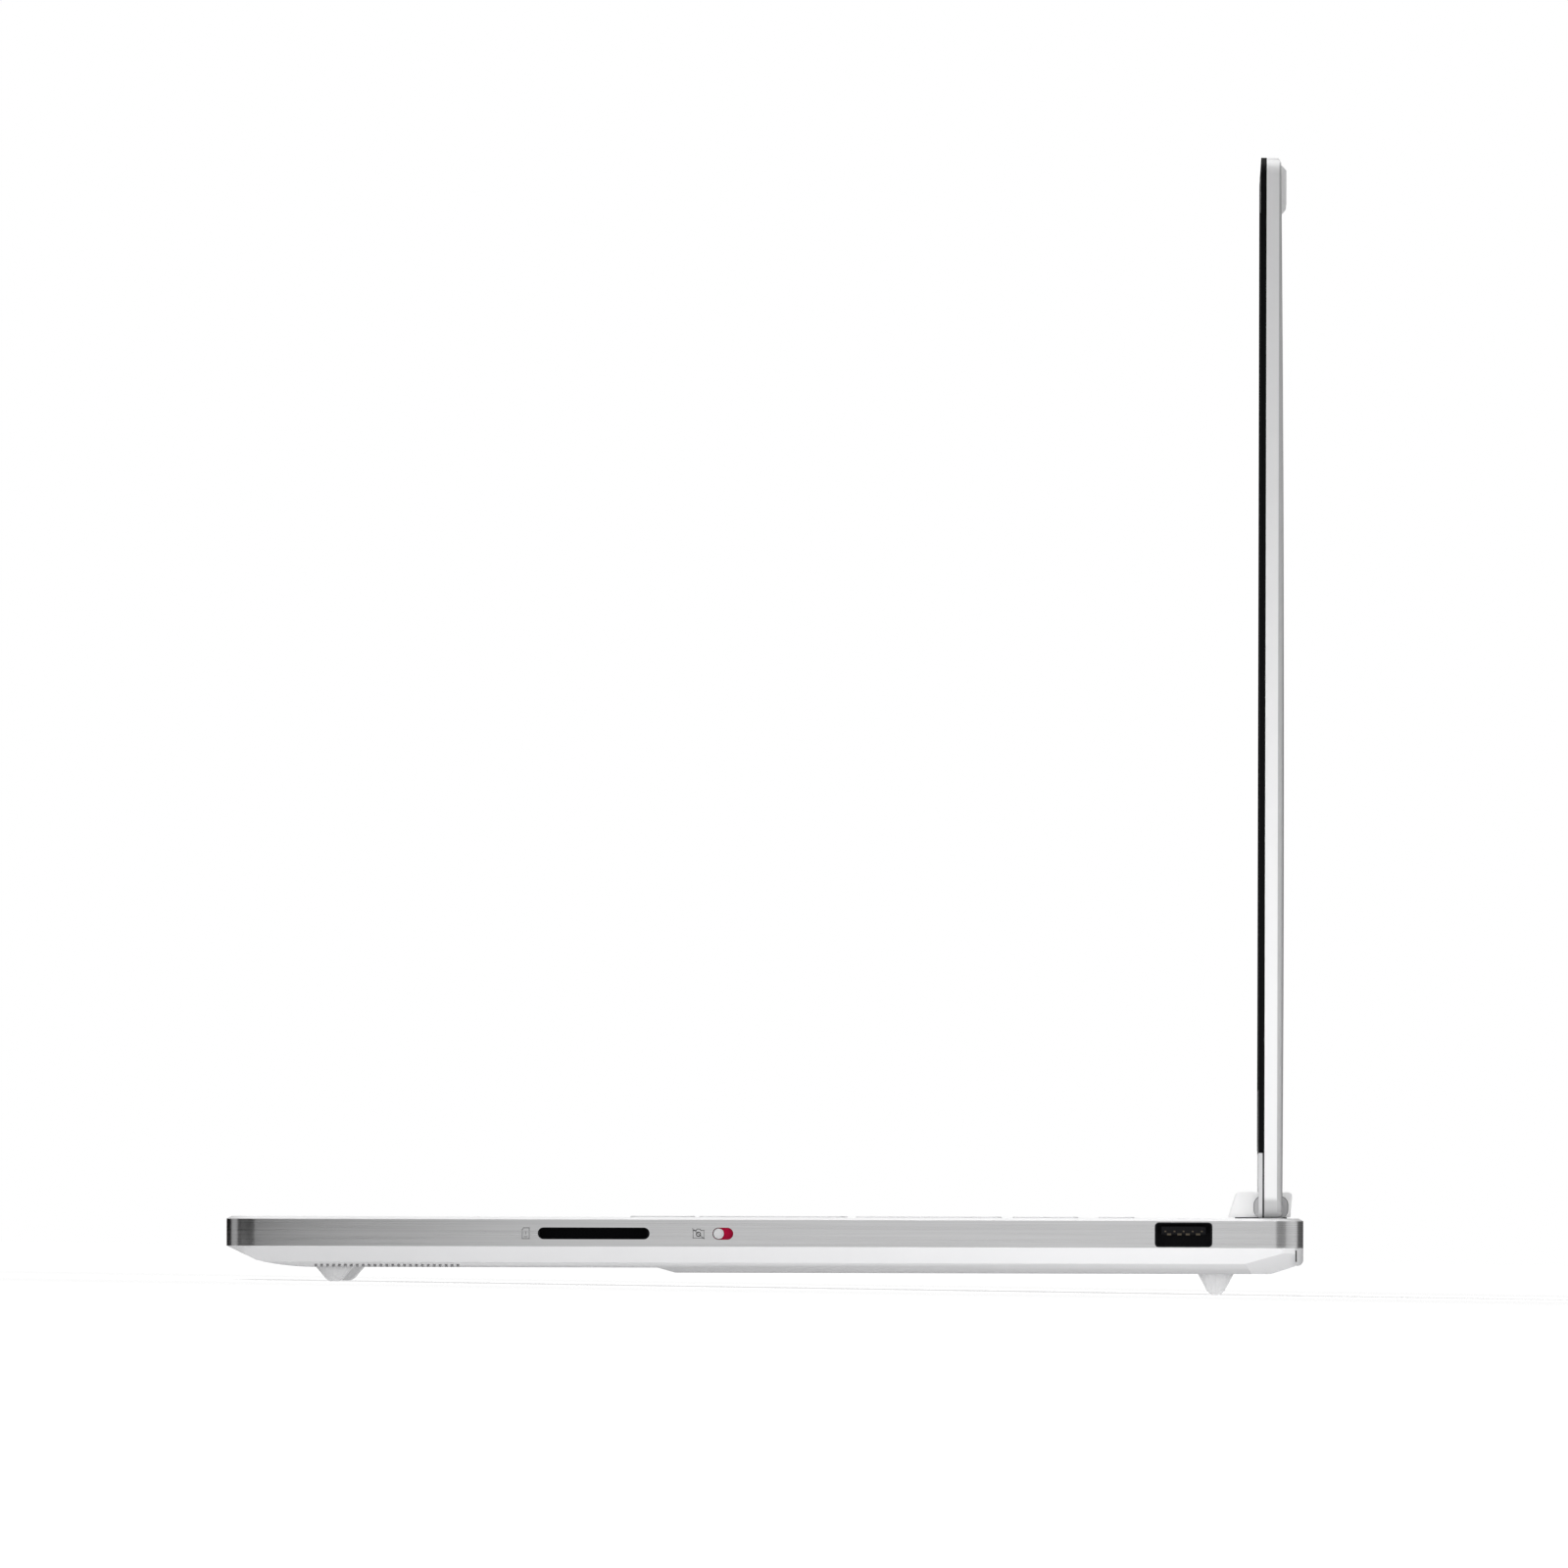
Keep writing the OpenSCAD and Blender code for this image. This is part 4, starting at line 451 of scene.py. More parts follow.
inner_black = moulded("inner_black", (0.022, 0.022, 0.025), 0.25, 0.01, 0.45)
dress(inner_black, "battery", "fan_housings", "speakers", "fan_wheel_left", "fan_wheel_right",
      "shutter_housing")

pipe_copper = Finish("copper_pipe", Metallic=1.0)
tarnish = pipe_copper.noise(6.0, detail=4.0)
drawn = pipe_copper.noise(0.15, stretch=(40, 40, 1))
pipe_copper.set(Base_Color=pipe_copper.mix(tarnish, (0.62, 0.3, 0.16), (0.82, 0.46, 0.28)),
                Roughness=0.24 + drawn * 0.2)
pipe_copper.relief(drawn, 0.004)
dress(pipe_copper, "heat_pipes")

plate_steel = metal("plate_steel", (0.46, 0.47, 0.49), (0.6, 0.61, 0.63), 0.3, 0.003, 0.34,
                    stretch=(30, 1, 1))
dress(plate_steel, "fin_stacks", "hinge_brackets", "touchpad_bracket", "keyboard_plate")

cable_black = moulded("cable_black", (0.02, 0.02, 0.02), 0.4, 0.02, 0.5)
dress(cable_black, "base_cable", "lid_cable")

# ------------------------------------------------------------ dust screens
# A screen of crossed black nylon threads lies over each air intake, welded to the inside of
# the cover, so that the slots show a fine even mesh and not the blowers.

SCREEN = {"Width": 82.0 * MM, "Depth": 48.0 * MM, "Pitch": 1.1 * MM, "Thread": 0.16 * MM}
cover_thickness = 1.5 * MM
screen_clearance = 0.1 * MM
screen = Pattern("dust_screens", SCREEN)


def threads(length, across, turned):
    """A row of parallel threads, that long, set out over the width across."""
    count = screen.sum("FLOOR", screen.sum("DIVIDE", across, screen.size("Pitch")), 0.0)
    thread = screen.size("Thread")
    strand = screen.node("GeometryNodeMeshCube", None, {"Size": screen.vector(length, thread, thread)})
    gap = screen.vector(y=screen.size("Pitch"))
    start = screen.vector(y=screen.sum("MULTIPLY", across, -0.5))
    line = screen.node("GeometryNodeMeshLine", {"mode": "OFFSET"},
                       {"Count": count, "Start Location": start, "Offset": gap})
    row = screen.node("GeometryNodeInstanceOnPoints", None, {"Points": line, "Instance": strand})
    return screen.node("GeometryNodeTransform", None,
                       {"Geometry": row, "Rotation": (0, 0, math.radians(turned))})


weave = screen.node("GeometryNodeJoinGeometry", None,
                    {"Geometry": [threads(screen.size("Width"), screen.size("Depth"), 0),
                                  threads(screen.size("Depth"), screen.size("Width"), 90)]})
over_fans = screen.node("GeometryNodeInstanceOnPoints", None,
                        {"Points": screen.given.outputs[0], "Instance": weave})
cover_floor = min((unseat @ v.co).z for v in frame["nodes"]["bottom_cover"].data.vertices) + cover_thickness
fan_spots = []
for fan in ("fan_wheel_left", "fan_wheel_right"):
    low, high = solids_of(fan)[0]
    fan_spots.append(((low.x + high.x) / 2, (low.y + high.y) / 2, cover_floor + screen_clearance))
screens = screen.run("dust_screens", fan_spots, over_fans, inner_black)
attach(screens, "base")

# ------------------------------------------------------------ side band
# The band round the base is one bar of aluminium, bent to the plan and brushed along its
# length before it is anodised clear, so long fine streaks run level round all four sides.

band_metal = Finish("brushed_band", Metallic=1.0, Anisotropic=0.8, Anisotropic_Rotation=0.25)
fine = band_metal.noise(0.14, stretch=(300, 300, 1), detail=2.0)
broad = band_metal.noise(0.6, stretch=(140, 140, 1), detail=1.0)
streak = fine * 0.65 + broad * 0.35
band_metal.set(Base_Color=band_metal.mix(streak.step(0.3, 0.7), (0.50, 0.50, 0.504), (0.58, 0.58, 0.585)),
               Roughness=0.3 + (streak - 0.5) * 0.25)
band_metal.relief(streak, 0.004)
finished(band_metal, "base", "brushed_band", "side_frame")

# ------------------------------------------------------------ marks on the band
# Two small line signs are printed in grey beside the card slot and the camera switch: a memory
# card with a cut corner, and a crossed-out camera.

mark_ink = moulded("mark_ink", (0.22, 0.22, 0.225), 0.3, 0.002, 0.5)
INK = 0.03


def solid_flat(shape, outline, thick=INK):
    """A closed thin plate from an outline in X and Y, both in millimetres, its face up."""
    low = [shape.verts.new((x * MM, y * MM, 0)) for x, y in outline]
    high = [shape.verts.new((x * MM, y * MM, thick * MM)) for x, y in outline]
    shape.faces.new(low[::-1])
    shape.faces.new(high)
    for i in range(len(outline)):
        j = (i + 1) % len(outline)
        shape.faces.new((low[i], low[j], high[j], high[i]))


def stroke(shape, points, width, closed=False):
    """A printed line of that width along points, one small plate for each stretch."""
    ends = points + points[:1] if closed else points
    for (x0, y0), (x1, y1) in zip(ends, ends[1:]):
        run = math.hypot(x1 - x0, y1 - y0)
        ux, uy = (x1 - x0) / run * width / 2, (y1 - y0) / run * width / 2
        solid_flat(shape, [(x0 - ux + uy, y0 - uy - ux), (x1 + ux + uy, y1 + uy - ux),
                           (x1 + ux - uy, y1 + uy + ux), (x0 - ux - uy, y0 - uy + ux)])


def circle(x, y, radius, count=16, start=0.0, sweep=360.0):
    steps = count if sweep == 360.0 else count + 1
    return [(x + radius * math.cos(math.radians(start + sweep * i / count)),
             y + radius * math.sin(math.radians(start + sweep * i / count))) for i in range(steps)]


def onto(x, y, z, axis):
    """Stands a flat shape up at a place in millimetres, facing along axis.

    Its X then runs to the right of whoever reads it.
    """
    turns = {"X": ((0, 1, 0), (0, 0, 1), (1, 0, 0)), "-X": ((0, -1, 0), (0, 0, 1), (-1, 0, 0)),
             "Z": ((1, 0, 0), (0, 1, 0), (0, 0, 1)), "-Y": ((1, 0, 0), (0, 0, 1), (0, -1, 0))}
    return Matrix.Translation((x * MM, y * MM, z * MM)) @ Matrix(turns[axis]).transposed().to_4x4()


def place_piece(name, shape, spot, finish, body):
    """Puts a shape in the deck's frame at spot, makes it a piece and lets it ride."""
    shape.transform(seat @ spot)
    piece = new_piece(name, shape, finish)
    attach(piece, body)
    return piece


band_face = max((unseat @ v.co).x for v in frame["nodes"]["side_frame"].data.vertices) / MM
port_z = -4.0
card_sign_y = -57.7
camera_sign_y = -16.0
line = 0.2
sign = bmesh.new()
stroke(sign, [(-0.5, 1.3), (0.85, 1.3), (0.85, -1.3), (-0.85, -1.3), (-0.85, 0.85)], line)
stroke(sign, [(-0.85, 0.85), (-0.5, 1.3)], line)
stroke(sign, [(-0.35, -0.85), (0.35, -0.85)], line)
stroke(sign, [(0.0, -0.2), (0.0, 0.35)], line)
place_piece("card_sign", sign, onto(band_face, card_sign_y, port_z, "X"), mark_ink, "base")
sign = bmesh.new()
stroke(sign, [(-1.3, 0.75), (-0.6, 0.75), (-0.35, 1.1), (0.35, 1.1), (0.6, 0.75), (1.3, 0.75), (1.3, -1.05),
              (-1.3, -1.05)], line, closed=True)
stroke(sign, circle(0.0, -0.15, 0.5), line, closed=True)
stroke(sign, [(-1.45, 1.2), (1.35, -1.25)], line)
place_piece("camera_sign", sign, onto(band_face, camera_sign_y, port_z, "X"), mark_ink, "base")

# ------------------------------------------------------------ corner joint shadows
# At each rear corner the cover meets the block below the band in an upright open joint. It is
# too narrow to see into, so a short thin dark bar laid on the corner stands for it: a painted shadow of the
# shade inside the joint, not a gap.

joint_shadow = moulded("joint_shadow", (0.03, 0.03, 0.03), 0.3, 0.01, 0.8)
joint_shadow_spots = [(178.78, 128.1), (178.4, 128.44), (178.2, 128.3), (178.55, 128.0)]
joint_shadow_low, joint_shadow_high = -10.5, -7.7
for name, out in (("left", -1), ("right", 1)):
    # a solid dark bar on the surface, a painted shadow for the joint
    gap = bmesh.new()
    foot, head = ([gap.verts.new((out * x * MM, y * MM, z * MM)) for x, y in joint_shadow_spots]
                  for z in (joint_shadow_low, joint_shadow_high))
    for ring in (foot, head):
        gap.faces.new(ring)
    for i in range(4):
        gap.faces.new((foot[i], foot[i - 1], head[i - 1], head[i]))
    bmesh.ops.recalc_face_normals(gap, faces=gap.faces)
    place_piece(name + "_corner_joint", gap, Matrix(), joint_shadow, "base")

# ------------------------------------------------------------ sockets
# Folded and plated steel shells with black moulded tongues, soldered to the board behind
# their openings in the band.

port_steel = metal("port_steel", (0.008, 0.008, 0.009), (0.02, 0.02, 0.022), 0.4, 0.004, 0.36,
                   detail=3.0)
dress(port_steel, "usb_a_ports", "hdmi_port", "usb_c_ports", "audio_jack", "power_inlet", "card_reader")

contact_gold = metal("contact_gold", (0.06, 0.052, 0.042), (0.13, 0.11, 0.08), 0.5, 0.003, 0.34,
                     detail=3.0)


def boxed(shape, low, high):
    """A plain block between two corners in millimetres, for strips and plates."""
    made = bmesh.ops.create_cube(shape, size=1.0)["verts"]
    for v in made:
        v.co = Vector(((low[i] + high[i]) / 2 + v.co[i] * (high[i] - low[i])) * MM for i in range(3))


tongue_low, mouth_depth = 0.1, 2.0
# The two rows of contacts on a tongue: places across it, then half width, reach behind the
# tongue's front and before it, and foot and top above the tongue's underside.
CONTACT_ROWS = [((-3.5, -1.0, 1.0, 3.5), 0.5, 7.0, 0.05, -0.22, 0.25),
                ((-4.4, -2.2, 0.0, 2.2, 4.4), 0.22, 1.4, 0.1, 0.55, 0.9)]
for name, (low, high) in zip(("right", "left"), sorted(solids_of("usb_a_ports"), key=lambda b: -b[0].x)):
    out = 1 if name == "right" else -1
    mid_y = (low.y + high.y) / 2 / MM
    mouth = (high.x if out > 0 else low.x) / MM
    strips = bmesh.new()
    for places, wide, behind, ahead, foot, top in CONTACT_ROWS:
        x0, x1 = sorted((mouth - out * (mouth_depth + behind), mouth - out * (mouth_depth - ahead)))
        for y in places:
            boxed(strips, (x0, mid_y + y - wide, port_z + tongue_low + foot),
                  (x1, mid_y + y + wide, port_z + tongue_low + top))
    place_piece(name + "_contacts", strips, Matrix(), contact_gold, "base")

# ------------------------------------------------------------ deck
# The deck is pressed aluminium sheet under a white satin coat. The coat is even, with a fine
# bead-blasted grain below it that only shows close up.

case_white = moulded("white_case", (0.88, 0.88, 0.885), 0.09, 0.004, 0.4)
finished(case_white, "base", "white_case", "top_case")

# ------------------------------------------------------------ keys
# Each cap is moulded white, dished a little across its top and rounded at its edges, and
# carries its letters printed in grey. It clips to a scissor on the plate below.

key_white = moulded("key_white", (0.86, 0.86, 0.87), 0.12, 0.005, 0.45)
key_print = moulded("key_print", (0.07, 0.07, 0.075), 0.3, 0.002, 0.5)
dish_depth = 0.16
dish_run = 2.6
dish_rings = (0.9, 1.4, 1.9, 2.4, 3.0)  # millimetres in from the cap's edge
cap_foot = 0.15
cap_edge = 0.3
cap_lean = 0.072
cap_corner, least_corner = 1.5, 0.35
letter_high, pair_high, word_high = 5.2, 3.6, 2.9
bar_width, bar_depth, bar_corner, bar_setback = 3.2, 0.5, 0.24, 5.0
bar_foot, bar_top = -0.22, 0.06
KEYS = {
    "escape_key": ["esc"],
    "function_keys": ["F%d" % n for n in range(1, 13)] + ["insert", "print", "delete", "home", "end",
                                                          "pg up", "pg dn"],
    "number_row_keys": ["~\n`", "!\n1", "@\n2", "#\n3", "$\n4", "%\n5", "^\n6", "&\n7", "*\n8", "(\n9",
                        ")\n0", "_\n-", "+\n="],
    "backspace_key": ["backspace"],
    "tab_key": ["tab"],
    "q_row_keys": list("QWERTYUIOP") + ["{\n[", "}\n]", "|\n\\"],
    "caps_lock_key": ["caps lock"],
    "a_row_keys": list("ASDFGHJKL") + [":\n;", "\"\n'"],
    "enter_key": ["enter"],
    "left_shift_key": ["shift"],
    "z_row_keys": list("ZXCVBNM") + ["<\n,", ">\n.", "?\n/"],
    "right_shift_key": ["shift"],
    "modifier_keys": ["ctrl", "fn", "menu", "alt", "alt", "ctrl"],
    "space_bar": [""],
    "arrow_keys": ["up", "left", "down", "right"],
    "number_pad_keys": ["num", "/", "*", "-", "7", "8", "9", "4", "5", "6", "1", "2", "3", "0", "."],
    "pad_plus_key": ["+"],
    "pad_enter_key": ["enter"],
}


def rounded_ring(width, depth, radius, steps):
    """Points round a rectangle with rounded corners, about its middle."""
    points = []
    for corner, (sx, sy) in enumerate(((1, 1), (-1, 1), (-1, -1), (1, -1))):
        cx, cy = sx * (width / 2 - radius), sy * (depth / 2 - radius)
        for i in range(steps + 1):
            a = math.radians(90 * (corner + i / steps))
            points.append((cx + radius * math.cos(a), cy + radius * math.sin(a)))
    return points


def stack_rings(shape, rings):
    """Skins a stack of rings of the same count, lowest first, and closes both ends."""
    rows = [[shape.verts.new(p) for p in ring] for ring in rings]
    for low, high in zip(rows, rows[1:]):
        for i in range(len(low)):
            j = (i + 1) % len(low)
            shape.faces.new((low[i], low[j], high[j], high[i]))
    shape.faces.new(rows[0][::-1])
    shape.faces.new(rows[-1])


def dish(inset):
    """Height of a cap's top against its rim, that far in from the cap's edge, in millimetres."""
    share = min(max((inset - cap_edge - cap_lean) / dish_run, 0.0), 1.0)
    return -dish_depth * share * share * (3 - 2 * share)


def cap(shape, low, high):
    """One key cap that fills the box from low to high: upright foot, rounded edge, dished top."""
    mid = (low + high) / 2
    width, depth = (high.x - low.x) / MM, (high.y - low.y) / MM
    top, foot = high.z / MM, low.z / MM
    rings = [(foot, 0.0), (foot + cap_foot, 0.0), (top - cap_edge, cap_lean)]
    for i in range(1, 4):
        a = math.radians(30 * i)
        rings.append((top - cap_edge * (1 - math.sin(a)), cap_lean + cap_edge * (1 - math.cos(a))))
    rings += [(top + dish(inset), inset) for inset in dish_rings]
    stack = []
    for z, inset in rings:
        corner = max(cap_corner - inset * 0.5, least_corner)
        around = rounded_ring(width - 2 * inset, depth - 2 * inset, corner, 5)
        stack.append([Vector((mid.x + x * MM, mid.y + y * MM, z * MM)) for x, y in around])
    stack_rings(shape, stack)


def arrow(kind):
    """A small solid arrowhead as a flat outline, about its middle."""
    shape = [(-0.85, -0.6), (0.85, -0.6), (0.0, 0.75)]
    turn = {"up": 0, "left": 90, "down": 180, "right": 270}[kind]
    c, s = math.cos(math.radians(turn)), math.sin(math.radians(turn))
    return [(x * c - y * s, x * s + y * c) for x, y in shape]


def lettering(words, size):
    """Thin solid text as points and faces in millimetres, set about its own middle."""
    curve = bpy.data.curves.new("lettering", "FONT")
    curve.body = words
    curve.size = size
    curve.align_x = "CENTER"
    curve.align_y = "CENTER"
    curve.resolution_u = 3
    curve.extrude = INK / 2
    curve.space_line = 0.85
    holder = bpy.data.objects.new("lettering", curve)
    bpy.context.scene.collection.objects.link(holder)
    flat = baked(holder)
    points = [tuple(v.co) for v in flat.vertices]
    faces = [list(p.vertices) for p in flat.polygons]
    bpy.data.objects.remove(holder)
    bpy.data.meshes.remove(flat)
    return points, faces


def print_on(shape, points, faces, spot, height):
    """Lays thin solid text on the deck at spot, its middle at that height in millimetres."""
    made = [shape.verts.new((spot[0] + x * MM, spot[1] + y * MM, (height + z) * MM)) for x, y, z in points]
    for face in faces:
        shape.faces.new([made[i] for i in face])


for node, words in KEYS.items():
    caps, ink = bmesh.new(), bmesh.new()
    for (low, high), word in zip(solids_of(node), words):
        cap(caps, low, high)
        mid = (low + high) / 2
        width, depth = (high.x - low.x) / MM, (high.y - low.y) / MM
        if not word:
            continue
        bed = high.z / MM + dish(min(width, depth) / 2) - INK / 3
        if node == "arrow_keys":
            before = set(ink.verts)
            solid_flat(ink, arrow(word))
            added = [v for v in ink.verts if v not in before]
            bmesh.ops.translate(ink, vec=(mid.x, mid.y, bed * MM), verts=added)
        else:
            longest = max(len(part) for part in word.split("\n"))
            paired = "\n" in word or node == "function_keys"
            size = word_high if longest > 2 else pair_high if paired else letter_high
            points, faces = lettering(word, size)
            print_on(ink, points, faces, mid, bed + INK / 2)
        if word in ("F", "J"):
            bar = rounded_ring(bar_width, bar_depth, bar_corner, 3)
            stack = []
            for along, across, rise in ((1.0, 1.0, bar_foot), (0.9, 0.6, bar_top)):
                stack.append([Vector((mid.x + x * along * MM, mid.y + (y * across - bar_setback) * MM,
                                      high.z + rise * MM)) for x, y in bar])
            stack_rings(caps, stack)
    caps.transform(seat)
    ink.transform(seat)
    piece = new_piece(node + "_caps", caps, key_white)
    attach(piece, node)
    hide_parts(node)
    if ink.verts:
        print_piece = new_piece(node + "_print", ink, key_print)
        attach(print_piece, node)
    else:
        ink.free()

# ------------------------------------------------------------ touchpad and power button
# The touchpad is one plate under a matt glass-like film, flush with the deck. The power
# button is a white pill with a ringed bar printed on it.

pad_film = moulded("touchpad_film", (0.8, 0.8, 0.81), 0.06, 0.002, 0.3, clouds=0.2)
dress(pad_film, "touchpad")
dress(key_white, "power_button")
low, high = solids_of("power_button")[0]
power_line = 0.22
sign = bmesh.new()
stroke(sign, circle(0.0, 0.0, 1.15, 20, 125.0, 290.0), power_line)
stroke(sign, [(0.0, 0.25), (0.0, 1.4)], power_line)
button_mid = (low + high) / 2 / MM
place_piece("power_sign", sign, onto(button_mid.x, button_mid.y, high.z / MM, "Z"), mark_ink,
            "power_button")

# ------------------------------------------------------------ shutter switch
# The switch that covers the camera: a crimson moulded plate that slides in a small slot in the
# band, with a pale round knob, moulded with a dished face, pressed into it.

shutter_crimson = moulded("shutter_crimson", (0.46, 0.0, 0.04), 0.15, 0.004, 0.5, Specular_IOR_Level=0.08)
knob_grey = moulded("knob_grey", (0.66, 0.66, 0.67), 0.12, 0.003, 0.4)


def turned_part(shape, rings, count=40):
    """A turned form standing on Z, from (radius, height) rings in millimetres, lowest first."""
    stack_rings(shape, [[Vector((x * MM, y * MM, z * MM)) for x, y in circle(0, 0, r, count)]
                        for r, z in rings])


low, high = solids_of("shutter_slider")[0]
low, high = low / MM, high / MM
plate_thick = 0.8
plate_bevel = 0.1
plate_face = low.x + plate_thick
knob_y = low.y + 4.0
plate_corner = 0.6
plate = bmesh.new()
stack = []
for x, inset in ((0.0, plate_bevel), (plate_bevel, 0.0), (plate_thick - plate_bevel, 0.0),
                 (plate_thick, plate_bevel)):
    around = rounded_ring(high.y - low.y - 2 * inset, high.z - low.z - 2 * inset, plate_corner - inset, 4)
    stack.append([Vector((y * MM, z * MM, x * MM)) for y, z in around])
stack_rings(plate, stack)
place_piece("shutter_plate", plate, onto(low.x, (low.y + high.y) / 2, port_z, "X"), shutter_crimson,
            "shutter")
knob = bmesh.new()
reach = high.x - plate_face
turned_part(knob, [(1.3, -0.2), (1.3, reach - 0.25), (1.26, reach - 0.12), (1.17, reach - 0.03),
                   (1.05, reach), (0.95, reach - 0.02), (0.8, reach - 0.1), (0.45, reach - 0.14)])
knob_piece = place_piece("shutter_knob", knob, onto(plate_face, knob_y, port_z, "X"), knob_grey,
                         "shutter")
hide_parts("shutter_slider")

# ------------------------------------------------------------ hinges
# Two moulded white towers stand on the deck over the steel hinge shafts. Each tower's foot, up to a quarter
# millimetre above the deck, is painted dark grey: a painted shadow standing for the open seam round its foot.
# A blasted metal cap closes each outer end, over a thin dark washer.

seam_shadow_low, seam_shadow_high = 0.25, 0.3
tower_white = moulded("tower_white", (0.97, 0.97, 0.97), 0.15, 0.005, 0.42)
deck_top = (level @ seat.translation).z / MM
# painted shadow: the tower is painted dark grey below this height above the deck
seam_shadow = (tower_white.place().part("Z") - deck_top).step(seam_shadow_low, seam_shadow_high)
tower_white.set(Base_Color=tower_white.mix(seam_shadow, (0.2, 0.2, 0.2), tower_white.colour()))
finished(tower_white, "base", "white_case", "hinge_towers")
knuckle_grey = metal("knuckle_grey", (0.58, 0.58, 0.59), (0.68, 0.68, 0.69), 0.12, 0.006, 0.38,
                     detail=3.0)
finished(knuckle_grey, "base", "knuckle_grey", "knuckle_caps")
dress(knuckle_grey, "hinge_arms")
washer_dark = moulded("washer_dark", (0.09, 0.09, 0.095), 0.2, 0.004, 0.5)
washer_wider, washer_taller = 0.34, 0.15
washer_back, washer_front = -0.05, 0.25
washer_corner = 2.1
for name, (low, high) in zip(("left", "right"), sorted(solids_of("knuckle_caps"), key=lambda b: b[0].x)):
    low, high = low / MM, high / MM
    wide, tall = high.y - low.y + washer_wider, high.z - low.z + washer_taller
    around = rounded_ring(wide, tall, washer_corner, 8)
    washer = bmesh.new()
    stack_rings(washer, [[Vector((y * MM, z * MM, x * MM)) for y, z in around]
                         for x in (washer_back, washer_front)])
    inner_face, axis = (low.x, "X") if name == "right" else (high.x, "-X")
    spot = onto(inner_face, (low.y + high.y) / 2, low.z + tall / 2, axis)
    place_piece(name + "_knuckle_washer", washer, spot, washer_dark, "base")

# ------------------------------------------------------------ lid
# The lid shell is pressed and coated as the deck is. A thin black bezel and the display
# stack lie in it, with a pale strip along its foot.

lid_crease = 24
lid_white = moulded("lid_white", (0.83, 0.83, 0.835), 0.09, 0.004, 0.4)
lid_spot = lid_white.place()
hinge_line = level @ Vector(next(j["pos_m"] for j in frame["joints"] if j["name"] == "lid_hinge")) / MM
behind = lid_spot.part("Y") - hinge_line.y
below = (lid_spot.part("Z") - hinge_line.z) * -1
# Painted shade: the shell's sides are painted darker towards the back in two steps, where the rounded back
# edge turns away from the light, and its foot is painted darker by the hinge, where the deck shades it. The
# numbers are where a step starts and ends, in millimetres, and how much darker it makes the coat.
side_from, side_to = 177.4, 178.6
first_from, first_to, first_by = 1.0, 1.2, 0.62
second_from, second_to, second_by = 1.85, 2.2, 0.23
foot_from, foot_to, foot_by = -1.7, -0.2, 0.5
back_edge_shade = behind.step(first_from, first_to) * first_by + behind.step(second_from, second_to) * second_by
side_painted_shade = abs(lid_spot.part("X")).step(side_from, side_to) * back_edge_shade
foot_painted_shade = below.step(foot_from, foot_to) * foot_by
# painted shade on the lid's sides and foot, mixed into its coat colour
painted_shade = side_painted_shade.sum("MAXIMUM", side_painted_shade, foot_painted_shade)
lid_white.set(Base_Color=lid_white.mix(painted_shade, lid_white.colour(), (0.2, 0.2, 0.205)))
finished(lid_white, "lid", "white_case", "lid_shell", crease=lid_crease)
bezel_black = moulded("bezel_black", (0.003, 0.003, 0.0035), 0.14, 0.008, 0.5, turn=0.0,
                      Specular_IOR_Level=0.06)
dress(bezel_black, "display_bezel", "webcam_module")
seal_black = moulded("seal_rubber", (0.02, 0.02, 0.02), 0.3, 0.01, 0.6, turn=0.0)
dress(seal_black, "bezel_gasket")
screen_dark = moulded("screen_dark", (0.012, 0.013, 0.016), 0.05, 0.0015, 0.22, turn=0.0)
dress(screen_dark, "display_panel")
lens_glass = Finish("lens_glass", turn=0.0, Coat_Weight=1.0, Coat_Roughness=0.03, IOR=1.52)
iris = lens_glass.noise(0.6, detail=1.0)
lens_glass.set(Base_Color=lens_glass.mix(iris, (0.004, 0.005, 0.012), (0.012, 0.012, 0.03)),
               Roughness=0.08 + iris * 0.05)
low, high = solids_of("webcam_module")[0]
eye_z = (low.z + high.z) / 2 / MM
lens_y = low.y / MM + 0.2
ring_y = low.y / MM - 0.38
ring_x = 24.0
lens = bmesh.new()
turned_part(lens, [(1.22, -0.25), (1.22, 0.0), (1.12, 0.1), (0.98, 0.08), (0.9, -0.02), (0.75, 0.05),
                   (0.5, 0.12), (0.22, 0.15)], 32)
place_piece("camera_lens", lens, onto(0.0, lens_y, eye_z, "-Y"), lens_glass, "lid")
for name, x in (("left", -ring_x), ("right", ring_x)):
    port = bmesh.new()
    turned_part(port, [(0.75, -0.1), (0.75, 0.02), (0.68, 0.06), (0.5, 0.06), (0.42, 0.0), (0.38, -0.08)], 20)
    place_piece(name + "_microphone_ring", port, onto(x, ring_y, eye_z, "-Y"), seal_black, "lid")
chin_grey = moulded("chin_grey", (0.62, 0.62, 0.63), 0.12, 0.004, 0.45, turn=0.0)
dress(chin_grey, "chin_strip")

# ------------------------------------------------------------ floor, light and camera
# A white floor and an even white room under plain soft light: large softboxes above and behind,
# and weak low ones at the sides. The view is level with the deck, square to the sockets.

IN_METRES = (1000, 1000, 1000)
floor_half = 15.0
floor_matt_lit, floor_matt_seen = 0.55, 0.5
glow_near, glow_far = 0.6, 1.0
glow_from, glow_to = 0.5, 2.4  # metres from the middle of the floor
floor_fill, sky_fill = 0.44, 0.19  # light thrown on the object, against 1 as it is seen


def grey(shade):
    return (shade, shade, shade)


def seen_rays(finish):
    """1 on a ray that looks at the room, straight, in gloss or through glass; 0 on one that lights."""
    seen = finish.node("ShaderNodeLightPath", out="Is Camera Ray")
    kinds = seen.socket.node.outputs
    for name in ("Is Glossy Ray", "Is Transmission Ray"):
        seen = seen.sum("MAXIMUM", seen, Reading(finish, kinds[name]))
    return seen


